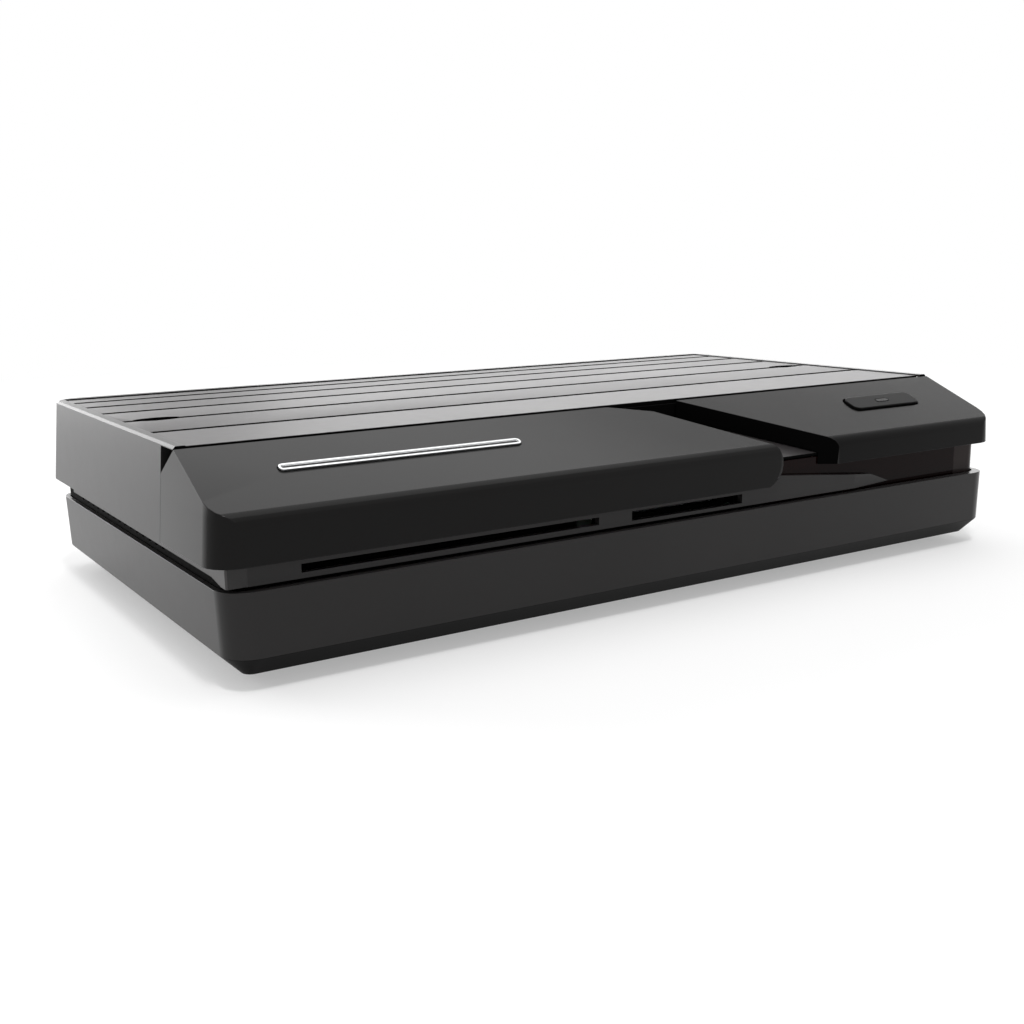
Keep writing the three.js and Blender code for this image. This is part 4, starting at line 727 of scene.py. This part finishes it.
# Geometry Nodes: a tree with named sizes, grown once into a plain mesh
class Plan(Tree):
    def __init__(self, name, sizes):
        tree = bpy.data.node_groups.new(name, "GeometryNodeTree")
        super().__init__(tree)
        tree.interface.new_socket("Geometry", in_out="INPUT", socket_type="NodeSocketGeometry")
        kinds = {int: "Int", float: "Float", tuple: "Vector", bpy.types.Material: "Material"}
        for key, value in sizes.items():
            tree.interface.new_socket(key, in_out="INPUT", socket_type="NodeSocket" + kinds[type(value)])
        tree.interface.new_socket("Geometry", in_out="OUTPUT", socket_type="NodeSocketGeometry")
        self.sizes = sizes
        start = tree.nodes.new("NodeGroupInput")
        self.start = {socket.name: Wire(self, socket) for socket in start.outputs if socket.name}

    def __getitem__(self, name):
        return self.start[name]

    def end(self, *pairs):
        dressed = []
        for geometry, finish in pairs:
            real = self.node("GeometryNodeRealizeInstances", None, {"Geometry": geometry})
            dressed.append(self.node("GeometryNodeSetMaterial", None, {"Geometry": real, "Material": finish}))
        out = self.tree.nodes.new("NodeGroupOutput")
        self.put(out.inputs["Geometry"], dressed[0] if len(dressed) == 1 else self.joined(*dressed))
        return self

    def grow(self, name, changes=None, points=(), faces=(), edge=0.0):
        seed = bpy.data.meshes.new(name + "Seed")
        seed.from_pydata([Vector(p) * mm for p in points], [], faces)
        piece = newPiece(name, seed)
        made = piece.modifiers.new("made", "NODES")
        made.node_group = self.tree
        values = {**self.sizes, **(changes or {})}
        for item in self.tree.interface.items_tree:
            if item.item_type == "SOCKET" and item.in_out == "INPUT" and item.name in values:
                made[item.identifier] = values[item.name]
        baked(piece)
        return softened(piece, edge, 1) if edge else evened(piece)

    # Named sizes in metres: numbers here, a vector below
    def sized(self, *names):
        return [self[name] * mm for name in names]

    def scaled(self, name):
        return self.node("ShaderNodeVectorMath", {"operation": "SCALE"}, {0: self[name], "Scale": mm})

    def vector(self, x=0.0, y=0.0, z=0.0):
        return self.node("ShaderNodeCombineXYZ", None, {0: x, 1: y, 2: z})

    def cube(self, size):
        return self.node("GeometryNodeMeshCube", None, {"Size": size}, "Mesh")

    def disc(self, sides, radius, depth):
        inputs = {"Vertices": sides, "Radius": radius, "Depth": depth}
        return self.node("GeometryNodeMeshCylinder", None, inputs, "Mesh")

    def oblong(self, width, height):
        return self.node("GeometryNodeCurvePrimitiveQuadrilateral", None, {"Width": width, "Height": height})

    def swept(self, path, section):
        return self.node("GeometryNodeCurveToMesh", None, {"Curve": path, "Profile Curve": section, "Fill Caps": True})

    # A straight bar from start to end, with rounded corners
    def bar(self, start, end, outline, radius, steps):
        path = self.node("GeometryNodeCurvePrimitiveLine", None, {"Start": start, "End": end})
        inputs = {"Curve": outline, "Radius": radius, "Count": steps}
        return self.swept(path, self.node("GeometryNodeFilletCurve", {"mode": "POLY"}, inputs))

    def coiled(self, turns, radius, length, wire, steps):
        path = self.node("GeometryNodeCurveSpiral", None, {
            "Resolution": steps, "Rotations": turns, "Start Radius": radius, "End Radius": radius, "Height": length})
        section = self.node("GeometryNodeCurvePrimitiveCircle", {"mode": "RADIUS"}, {"Resolution": 4, "Radius": wire})
        return self.swept(path, section)

    def row(self, count, start, step):
        inputs = {"Count": count, "Start Location": start, "Offset": step}
        return self.node("GeometryNodeMeshLine", {"mode": "OFFSET"}, inputs)

    def solid(self, operation, inputs):
        return self.node("GeometryNodeMeshBoolean", {"operation": operation, "solver": "EXACT"}, inputs, "Mesh")

    def repeated(self, points, instance, turn=None):
        values = {"Points": points, "Instance": instance}
        if turn:
            values["Rotation"] = turn
        return self.node("GeometryNodeInstanceOnPoints", None, values)

    def moved(self, geometry, offset, turn=(0, 0, 0)):
        return self.node("GeometryNodeTransform", None, {"Geometry": geometry, "Translation": offset, "Rotation": turn})

    def joined(self, *parts):
        return self.node("GeometryNodeJoinGeometry", None, {"Geometry": list(parts)})


# Top deck: slats that narrow by a fixed step from the seam to the rear rim, with two thumb recesses
deck = {"Count": 6, "Seam": -42.7, "Step": 3.1, "Groove": 2.3, "Length": 213.68, "Top": 44.0, "Depth": 1.1,
        "Round": 0.12}
field = {"half": 106.85, "back": 54.1, "deep": 1.0, "edge": 0.22}
thumb = {"x": 98.5, "reach": 5.6, "width": 2.7, "deep": 1.6, "back": 0.5, "sides": 36}
deck["First"] = (field["back"] - deck["Seam"] + deck["Step"] * deck["Count"] * (deck["Count"] - 1) / 2) / deck["Count"]


def slatPlan():
    plan = Plan("slatDeck", deck)
    opening = plan.tree.nodes.new("GeometryNodeRepeatInput")
    closing = plan.tree.nodes.new("GeometryNodeRepeatOutput")
    opening.pair_with_output(closing)
    closing.repeat_items.clear()
    for kind, key in (("GEOMETRY", "Geometry"), ("FLOAT", "Edge"), ("FLOAT", "Width")):
        closing.repeat_items.new(kind, key)
    for key, size in (("Iterations", "Count"), ("Edge", "Seam"), ("Width", "First")):
        plan.put(opening.inputs[key], plan[size])
    sofar, edge, width = (Wire(plan, opening.outputs[key]) for key in ("Geometry", "Edge", "Width"))
    low = edge + plan["Groove"] * 0.5
    high = edge + width - plan["Groove"] * 0.5
    outline = plan.oblong((high - low) * mm, plan["Depth"] * mm)
    half = plan["Length"] * (0.5 * mm)
    bar = plan.bar(plan.vector(half * -1), plan.vector(half), outline, plan["Round"] * mm, 3)
    bar = plan.moved(bar, plan.vector(0.0, (low + high) * (0.5 * mm), (plan["Top"] - plan["Depth"] * 0.5) * mm))
    for key, value in (("Geometry", plan.joined(sofar, bar)), ("Edge", edge + width), ("Width", width - plan["Step"])):
        plan.put(closing.inputs[key], value)
    return plan.end((Wire(plan, closing.outputs["Geometry"]), slats))


tray = newPiece("top_cover_shell", mergedCopy("top_cover"), finishes["satin_black"])
carved(tray, boxMesh("field", (-field["half"], -90, deck["Top"] - field["deep"]), (field["half"], field["back"], 60)))
softened(tray, field["edge"], chosen=lambda place: abs(place.x) > 106 or place.y > 53.5)
# The floor of the slat field, under the grooves, in the matte black: painted shade in the grooves
painted(tray, matteAndShade, lambda place, normal: normal.z > 0.9 and 0.8 < deck["Top"] - place.z < 2)
# The cover's front wall behind the channel in the matte black: painted shade
painted(tray, matteAndShade, lambda place, normal: normal.y < -0.9 and place.y < -40)
# The cover's left rim in a darker, duller copy, damping its highlight: painted shade
painted(tray, rimBlack, lambda place, normal: normal.z > 0.5 and place.x < -field["half"])
settled(tray, "top_cover")
slatDeck = slatPlan().grow("top_slats")
thumbY = deck["Seam"] + 2 * deck["First"] - deck["Step"] + thumb["back"]
turns = [2 * math.pi * i / thumb["sides"] for i in range(thumb["sides"])]
for side in (-1, 1):
    oval = [(side * thumb["x"] + thumb["reach"] * math.cos(a), thumbY + thumb["width"] * math.sin(a)) for a in turns]
    carved(slatDeck, prismMesh("thumb", oval, deck["Top"] - thumb["deep"], 50))
# The slats' sides in the matte black: painted shade in the grooves
painted(slatDeck, matteAndShade, lambda place, normal: abs(normal.z) < 0.6)
settled(slatDeck, slot="satin_black")
print("deck of", deck["Count"], "slats made")


# Screws: threaded shank, chamfered head and a cross recess, set point first along a direction
screwSizes = {"Length": 16.0, "Shank": 1.3, "Head": 2.7, "Height": 1.9, "Recess": 0.8, "Turns": 14.0,
              "Direction": (0.0, 0.0, 1.0)}


def screwPlan():
    plan = Plan("screw", screwSizes)
    length, shank, head, height, recess = plan.sized("Length", "Shank", "Head", "Height", "Recess")
    core = plan.moved(plan.disc(16, shank * 0.8, length), plan.vector(z=length * 0.5))
    thread = plan.coiled(plan["Turns"], shank * 0.86, length * 0.9, shank * 0.14, 14)
    thread = plan.moved(thread, plan.vector(z=length * 0.04))
    disc = plan.moved(plan.disc(32, head, height * 0.7), plan.vector(z=height * -0.35))
    dome = plan.node("GeometryNodeMeshCone", None, {
        "Vertices": 32, "Radius Top": head * 0.78, "Radius Bottom": head, "Depth": height * 0.3}, "Mesh")
    dome = plan.moved(dome, plan.vector(z=height * -0.7), (math.pi, 0, 0))
    arms = [plan.moved(plan.cube(plan.vector(*size)), plan.vector(z=height * -1.0))
            for size in ((head * 1.2, recess, height), (recess, head * 1.2, height))]
    top = plan.solid("UNION", {"Mesh 2": [disc, dome]})
    top = plan.solid("DIFFERENCE", {"Mesh 1": top, "Mesh 2": [plan.solid("UNION", {"Mesh 2": arms})]})
    turn = plan.node("FunctionNodeAlignRotationToVector", {"axis": "Z"}, {"Vector": plan["Direction"]})
    return plan.end((plan.repeated(plan["Geometry"], plan.joined(core, thread, top), turn), finishes["screw_steel"]))


screw = screwPlan()
boardScrew = {"Length": 5.0, "Turns": 6.0, "Direction": (0.0, 0.0, -1.0)}
for kind, changes, up in (("case", None, 1), ("board", boardScrew, -1)):
    names = named(kind + "_screw")
    places = []
    for name in names:
        low, high, middle = boxOf(name)
        places.append((*middle[:2], (low if up > 0 else high).z + up * screwSizes["Height"]))
    settled(screw.grow(kind + "_screws", changes, places), *names)
print("screws made")


# Rows of small straight contacts, one tree for every socket, header and board
contactSizes = {"Count": 8, "Start": (0.0, 0.0, 0.0), "Pitch": (1.0, 0.0, 0.0), "Rows": 1, "Row Step": (0.0, 0.0, 1.0),
                "Size": (0.5, 1.0, 0.2), "Finish": gold}


def contactPlan():
    plan = Plan("contacts", contactSizes)
    line = plan.row(plan["Count"], plan.scaled("Start"), plan.scaled("Pitch"))
    rows = plan.row(plan["Rows"], (0, 0, 0), plan.scaled("Row Step"))
    pin = plan.cube(plan.scaled("Size"))
    return plan.end((plan.repeated(rows, plan.repeated(line, pin)), plan["Finish"]))


contacts = contactPlan()


# One row, or two where the step from the first to the second is given
def contactRow(name, slot, count, start, pitch, size, finish=gold, rowStep=None, edge=0.05):
    changes = {"Count": count, "Start": start, "Pitch": (pitch, 0.0, 0.0), "Size": size, "Finish": finish}
    if rowStep:
        changes.update({"Rows": 2, "Row Step": rowStep})
    settled(contacts.grow(name, changes, edge=edge), slot=slot)


# Bent legs along two opposite sides of a chip
legSizes = {"Count": 8, "Pitch": 0.8, "Middle": (0.0, 0.0, 0.0), "Half": 5.0, "Reach": 1.1, "Drop": 0.6, "Width": 0.35,
            "Thick": 0.15, "Turn": 0.0}
chips = {"memory_chip_1": (10, 0.0), "memory_chip_2": (10, 0.0), "flash_chip": (13, math.pi / 2)}  # legs a side, turn
boardTop = 12.4


def legPlan():
    plan = Plan("legs", legSizes)
    out, reach, drop = plan.sized("Half", "Reach", "Drop")
    low = plan["Thick"] * (0.5 * mm)
    bend = {"Start": (out - 0.2 * mm, drop), "Start Handle": (out + reach * 0.75, drop),
            "End Handle": (out + reach * 0.15, low), "End": (out + reach, low)}
    bend = {key: plan.vector(x, 0.0, z) for key, (x, z) in bend.items()}
    bend = plan.node("GeometryNodeCurvePrimitiveBezierSegment", None, {"Resolution": 8, **bend})
    leg = plan.swept(bend, plan.oblong(plan["Thick"] * mm, plan["Width"] * mm))
    span = (plan["Count"] - 1) * plan["Pitch"] * (0.5 * mm)
    side = plan.repeated(plan.row(plan["Count"], plan.vector(y=span * -1), plan.vector(y=plan["Pitch"] * mm)), leg)
    both = plan.joined(side, plan.moved(side, (0, 0, 0), (0, 0, math.pi)))
    return plan.end((plan.moved(both, plan.scaled("Middle"), plan.vector(z=plan["Turn"])), finishes["tin_steel"]))


legs = legPlan()
for name, (count, turn) in chips.items():
    low, high, middle = boxOf(name)
    half = ((high - low).y if turn else (high - low).x) / 2
    values = {"Count": count, "Turn": turn, "Middle": (*middle[:2], boardTop), "Half": half}
    settled(legs.grow(name + "_legs", values), slot="tin_steel")


# Cuts a turned shape out of a piece
def bored(piece, profile, centre, sides):
    tool = turned("tool", profile, centre, sides=sides)
    carved(piece, tool.data)
    bpy.data.objects.remove(tool)


# Chip bodies: mould edge, and a shallow dimple that marks the first leg
chipMark = {"in": 1.3, "radius": 0.45, "deep": 0.12, "edge": 0.14}
dimple = [(0, -chipMark["deep"]), (chipMark["radius"], -chipMark["deep"] / 2), (chipMark["radius"], 1), (0, 1)]
for name in (*chips, "processor_chip"):
    low, high, middle = boxOf(name)
    body = rounded(name, "_body", chipMark["edge"])
    bored(body, dimple, (low.x + chipMark["in"], low.y + chipMark["in"], high.z), 20)
    settled(body, name)
print("chips and legs made")


# Heat sink: a base with rounded fins
sinkSizes = {"Count": 9, "Low": (0.0, 0.0, 0.0), "Size": (44.0, 44.0, 3.0), "Height": 9.0, "Thick": 1.4}


def sinkPlan():
    plan = Plan("heatSink", sinkSizes)
    wide, deep, base = plan.spread(plan.scaled("Size"))
    thick, height = plan.sized("Thick", "Height")
    plate = plan.moved(plan.cube(plan.scaled("Size")), plan.vector(wide * 0.5, deep * 0.5, base * 0.5))
    fin = plan.bar((0, 0, 0), plan.vector(0.0, deep), plan.oblong(thick, height + base * 0.5), thick * 0.42, 4)
    step = (wide - thick) / (plan["Count"] - 1)
    line = plan.row(plan["Count"], plan.vector(thick * 0.5, 0.0, base * 0.75 + height * 0.5), plan.vector(step))
    whole = plan.joined(plate, plan.repeated(line, fin))
    return plan.end((plan.moved(whole, plan.scaled("Low")), finishes["aluminium"]))


low, high, middle = boxOf("heat_sink")
base = sinkSizes["Size"][2]
values = {"Low": tuple(low), "Size": (high.x - low.x, high.y - low.y, base), "Height": high.z - low.z - base}
settled(sinkPlan().grow("heat_sink_finned", values), "heat_sink")


# Small chip parts scattered over the free fields of the main board, with soldered ends
smallSizes = {"Seed": 7, "Spacing": 4.59, "Size": (1.7, 0.9, 0.5), "End": 0.36, "Body": socketBlack}
freeFields = [(-80, -39, -9, 11), (-29, -17, -8, 34), (-54, -39, 13, 31), (40, 97, -3, 11), (27, 96, -50, -28),
              (88, 98, 15, 37), (-79, -70, 14, 31), (46, 52, -24, -8)]


def scatterPlan():
    plan = Plan("smallParts", smallSizes)
    points = plan.node("GeometryNodeDistributePointsOnFaces", {"distribute_method": "POISSON"}, {
        "Mesh": plan["Geometry"], "Distance Min": plan["Spacing"] * mm, "Density Max": 160000.0, "Seed": plan["Seed"]},
        "Points")
    turns = plan.node("FunctionNodeRandomValue", {"data_type": "INT"}, {4: 0, 5: 1, "Seed": plan["Seed"]}, 2)
    turn = plan.vector(z=turns * (math.pi / 2))
    long, wide, high = plan.spread(plan.scaled("Size"))
    end = plan["End"] * mm
    body = plan.moved(plan.cube(plan.vector(long - end * 2, wide * 0.94, high * 0.94)), plan.vector(z=high * 0.5))
    cap = plan.cube(plan.vector(end, wide, high))
    reach = (long - end) * 0.5
    caps = plan.joined(*[plan.moved(cap, plan.vector(x, 0.0, high * 0.5)) for x in (reach, reach * -1)])
    return plan.end((plan.repeated(points, body, turn), plan["Body"]),
                    (plan.repeated(points, caps, turn), finishes["tin_steel"]))


corners, quads = [], []
for left, right, near, far in freeFields:
    quads.append([len(corners) + i for i in range(4)])
    corners += [(x, y, boardTop - 0.28) for x, y in ((left, near), (right, near), (right, far), (left, far))]
smallParts = scatterPlan()
ceramic = plainPlastic("ceramicTan", (0.30, 0.21, 0.13), 0.5, grain=0.2)
tallSizes = {"Seed": 23, "Size": (1.8, 1.0, 0.9), "Body": ceramic}
for name, changes in (("chip_resistors", {}), ("chip_capacitors", tallSizes)):
    settled(smallParts.grow(name, changes, corners, quads), slot="dark_plastic")
print("board parts scattered")


# Capacitors: rolled can with a crimp over its rubber foot, sleeve, and a scored cross on the lid
can = {"crimp": 0.35, "edge": 0.45, "arm": 1.4, "score": 0.3, "deep": 0.32, "sleeve": 0.75}
sleeve = plainPlastic("sleeveBlack", (0.012, 0.012, 0.016), 0.35, grain=0.4)
for name in named("capacitor"):
    low, high, middle = boxOf(name)
    tall, r = high.z - low.z, (high.x - low.x) / 2
    waist = r - can["crimp"]
    profile = [(0, 0), (r - 0.5, 0), (r - 0.15, 0.3), (r, 0.9), (r, 1.6), (waist, 2.0), (waist, 2.3), (r, 2.7),
               (r, tall - can["edge"]), (r - 0.15, tall - 0.12), (r - can["edge"], tall), (r - 0.8, tall),
               (r - 0.95, tall - 0.12), (0, tall - 0.12)]
    piece = turned(name + "_can", profile, (*middle[:2], low.z), finishes["aluminium"], sides=48)
    arm = 2 * (r - can["arm"])
    for wide, deep in ((arm, can["score"]), (can["score"], arm)):
        carved(piece, boxMesh("score", (middle[0] - wide / 2, middle[1] - deep / 2, high.z - can["deep"]),
                              (middle[0] + wide / 2, middle[1] + deep / 2, high.z + 1)))
    painted(piece, sleeve, lambda place, normal: ((place.xy - Vector(middle[:2])).length > r - can["sleeve"]
                                                  and place.z < high.z - 0.3))
    settled(piece, name)

# Power coil: moulded block with a round core let into its top
groove = [(3.4, -0.35), (3.9, -0.35), (3.9, 1), (3.4, 1)]
low, high, middle = boxOf("power_inductor")
coil = rounded("power_inductor", "_block", 0.3)
bored(coil, [*groove, groove[0]], (*middle[:2], high.z), 40)
painted(coil, metal("ferriteGrey", (0.10, 0.10, 0.105), 0.55),
        lambda place, normal: (place.xy - Vector(middle[:2])).length < 3.3 and normal.z > 0.9)
settled(coil, "power_inductor")

# Feet: rubber with a rounded rim and a shallow ring underneath
for name in named("foot"):
    low, high, middle = boxOf(name)
    r, tall = (high.x - low.x) / 2, high.z - low.z
    profile = [(0, 0.35), (r - 2.2, 0.35), (r - 1.9, 0), (r - 0.7, 0), (r - 0.2, 0.2), (r, 0.7), (r, tall - 0.1),
               (r - 0.1, tall), (0, tall)]
    settled(turned(name + "_pad", profile, (*middle[:2], low.z), finishes["rubber"], sides=40), name)

# Status lamps: domed lens and flange, with the dome in front
for name in named("status_lamp"):
    low, high, middle = boxOf(name)
    deep, r = high.y - low.y, (high.x - low.x) / 2
    dome = [(r * math.sin(a * math.pi / 10) * 0.9, r * 0.8 * (1 - math.cos(a * math.pi / 10))) for a in range(1, 6)]
    profile = [(0, 0), *dome, (r * 0.9, deep - 0.7), (r, deep - 0.65), (r, deep - 0.05), (r - 0.05, deep), (0, deep)]
    piece = turned(name + "_lens", profile, (middle[0], low.y, middle[2]), finishes["pale_lens"], axis="Y")
    settled(piece, name)
print("turned parts made")


# Card readers: pressed cages with a black mouth in front of a level
for name, front, width in (("smart_card_reader", -58.0, 0.2), ("memory_card_socket", -58.5, 0.15)):
    cage = sliced(newPiece(name + "_cage", mergedCopy(name), finishes["tin_steel"]), 1, front)
    softened(cage, width, 2)
    painted(cage, matteAndShade, lambda place, normal: place.y < front + 0.01)
    settled(cage, name)
contactRow("card_reader_springs", "nickel", 8, (-67.4, -25.0, 25.0), 2.54, (1.0, 7.0, 0.25))
contactRow("memory_card_tails", "nickel", 9, (-6.4, -32.9, 20.0), 2.1, (0.7, 1.2, 0.3))

# Sockets on the rear panel: plated or moulded shells, dark mouths, insulators and their contacts
mouth = 54.0
socketEdge = 0.18
# Openings: middle, half the width, lowest and highest level, how far in they turn dark, and the least that a dark
# face is turned away from the mouth
openings = {"lan_socket": (-64, 6.0, 13.5, 23.8, 0.06, -1), "usb_socket": (-38, 6.3, 13.5, 27, 0.3, 0.1),
            "hdmi_socket": (-12, 7.0, 13.4, 17.7, 0.3, -1)}
inletPin = {"x": -87, "z": 17.9, "radius": 1.2, "in": 0.3}
jackTip = 51.9


def socketShell(name, base, finish, chosen):
    settled(painted(rounded(name, "_shell", socketEdge, base, 0), finish, chosen), name)


def darkInside(name):
    middle, half, low, high, inwards, turn = openings[name]
    return lambda place, normal: (abs(place.x - middle) < half and low < place.z < high and place.y < mouth - inwards
                                  and abs(normal.x) + abs(normal.z) > turn)


socketShell("lan_socket", None, socketBlack, darkInside("lan_socket"))
contactRow("network_contacts", "tin_steel", 8, (-67.57, 47.5, 22.6), 1.02, (0.45, 9.0, 0.35))
contactRow("network_lamps", "pale_lens", 2, (-69.6, 53.95, 24.9), 11.2, (2.4, 0.5, 1.1),
           lens("lampGreen", (0.16, 0.36, 0.10)), edge=0.1)
socketShell("usb_socket", None, socketBlack, darkInside("usb_socket"))
contactRow("usb_contacts", "tin_steel", 4, (-41.5, 48.4, 16.28), 2.33, (1.1, 7.6, 0.12), rowStep=(0.0, 0.0, 7.6))
socketShell("hdmi_socket", None, socketBlack, darkInside("hdmi_socket"))
contactRow("video_contacts", "tin_steel", 19, (-16.5, 49.5, 15.0), 0.5, (0.26, 5.2, 0.1), rowStep=(0.0, 0.0, 1.15),
           edge=0.0)
socketShell("dc_inlet", socketBlack, finishes["nickel"], lambda place, normal: (
    math.hypot(place.x - inletPin["x"], place.z - inletPin["z"]) < inletPin["radius"]
    and place.y < mouth - inletPin["in"]))
socketShell("audio_jack", socketBlack, finishes["nickel"], lambda place, normal: place.y > jackTip)

# Board header under the reader board
settled(rounded("board_header", "_block", 0.25), "board_header")
contactRow("header_tails", "nickel", 11, (-49.2, -22.1, 12.9), 2.54, (0.6, 1.6, 0.5), rowStep=(0.0, 6.2, 0.0))

# Shield cans: lids pressed round their rims, with a row of clips along the front
clips = {"pitch": 5.0, "margin": 4, "lift": 0.4, "size": (2.6, 0.5, 1.3)}
for name, width in (("tuner_can", 0.35), ("radio_module", 0.3)):
    low, high, middle = boxOf(name)
    settled(rounded(name, "_shield", width), name)
    count = int((high.x - low.x - clips["margin"]) // clips["pitch"])
    start = (middle[0] - (count - 1) * clips["pitch"] / 2, low.y, middle[2] + clips["lift"])
    contactRow(name + "_clips", "tin_steel", count, start, clips["pitch"], clips["size"], finishes["tin_steel"])


# Aerial connectors: threads wound on the CAD barrels, and an insulator in each bore
threadSizes = {"Turns": 12.0, "Radius": 4.6, "Wire": 0.22, "Length": 8.0, "Start": (0.0, 0.0, 0.0)}
insert = {"radius": 2.6, "in": 0.3, "threadBack": 8.6, "edge": 0.2}


def threadPlan():
    plan = Plan("thread", threadSizes)
    radius, wire, length = plan.sized("Radius", "Wire", "Length")
    ridge = plan.moved(plan.coiled(plan["Turns"], radius, length, wire, 40), plan.scaled("Start"), (-math.pi / 2, 0, 0))
    return plan.end((ridge, finishes["nickel"]))


thread = threadPlan()
whiteInsert = plainPlastic("insertWhite", (0.62, 0.60, 0.55), 0.45)
for name in named("aerial_connector"):
    low, high, (x, y, z) = boxOf(name)
    barrel = rounded(name, "_barrel", insert["edge"])
    painted(barrel, whiteInsert, lambda place, normal: (math.hypot(place.x - x, place.z - z) < insert["radius"]
                                                        and place.y < high.y - insert["in"]))
    settled(barrel, name)
    settled(thread.grow(name + "_thread", {"Start": (x, high.y - insert["threadBack"], z)}), slot="nickel")
print("sockets and connectors made")


# Smaller pieces keep their CAD form with rounded edges
smallEdges = {"remote_receiver": 0.25, "switch_body": 0.15, "main_board": 0.1, "reader_board": 0.1, "key_board": 0.1,
              "front_board": 0.1, "key_ribbon": 0.03, "standoff": 0.15, "key_board_screw": 0.08, "switch_plunger": 0.15}
for start, width in smallEdges.items():
    for name in named(start):
        piece = rounded(name, "_part", width, flat=0 if name == "main_board" else 0.4)
        settled(piece, name, body="plunger" if name == "switch_plunger" else "housing")
print("small parts rounded")


# Floor, backdrop and light: levels and shares, with distances in metres
stage = {"floor": 0.90, "roughness": 0.9, "gleam": 0.1, "shadow": 0.62, "near": 0.20, "far": 0.60, "sky": 0.42,
         "reach": 8}


def floorFinish():
    finish = Finish("floorWhite", stage["gleam"])
    finish.set("Base Color", (stage["floor"], stage["floor"], stage["floor"], 1))
    finish.set("Roughness", stage["roughness"])
    x, y, z = finish.spread(finish.place)
    far = (((x * x + y * y) ** 0.5 - stage["near"]) / (stage["far"] - stage["near"])).held()
    white = finish.node("ShaderNodeEmission", None, {"Color": (1, 1, 1, 1), "Strength": 1.0})
    share = (1 - stage["shadow"] * (1 - far)) * finish.seen()
    mixed = finish.node("ShaderNodeMixShader", None, {0: share, 1: Wire(finish, finish.shader.outputs[0]), 2: white})
    finish.put(finish.tree.nodes["Material Output"].inputs["Surface"], mixed)
    return finish.material


square = [(x * stage["reach"], y * stage["reach"], 0) for x, y in ((-1, -1), (1, -1), (1, 1), (-1, 1))]
floorMesh = bpy.data.meshes.new("floor")
floorMesh.from_pydata(square, [], [(0, 1, 2, 3)])
newPiece("floor", floorMesh, floorFinish())

world = bpy.data.worlds.new("studio")
world.use_nodes = True
bpy.context.scene.world = world
sky = Tree(world.node_tree)
backdrop = world.node_tree.nodes["Background"].inputs
sky.put(backdrop["Color"], (1, 1, 1, 1))
sky.put(backdrop["Strength"], stage["sky"] + sky.seen() * (1 - stage["sky"]))

lamps = {
    "top": {"place": (0.26, 0.30, 1.2), "size": (1.5, 1.2), "watts": 8.0},
    "left": {"place": (-0.45, 1.15, 0.32), "size": (1.3, 0.8), "watts": 19.0},
    "back": {"place": (1.0, 1.1, 0.42), "size": (1.3, 0.5), "watts": 4.0},
    "front": {"place": (-0.15, -0.37, 1.03), "size": (0.12, 0.22), "watts": 4.5},
}
aim = Vector((0, 0, 0.02))
for name, spec in lamps.items():
    light = bpy.data.lights.new(name, "AREA")
    light.shape = "RECTANGLE"
    light.size, light.size_y = spec["size"]
    light.energy = spec["watts"]
    lamp = newPiece(name, light)
    lamp.location = spec["place"]
    lamp.rotation_euler = (aim - Vector(spec["place"])).to_track_quat("-Z", "Y").to_euler()
    lamp.visible_camera = False
print("floor and", len(lamps), "lamps set")
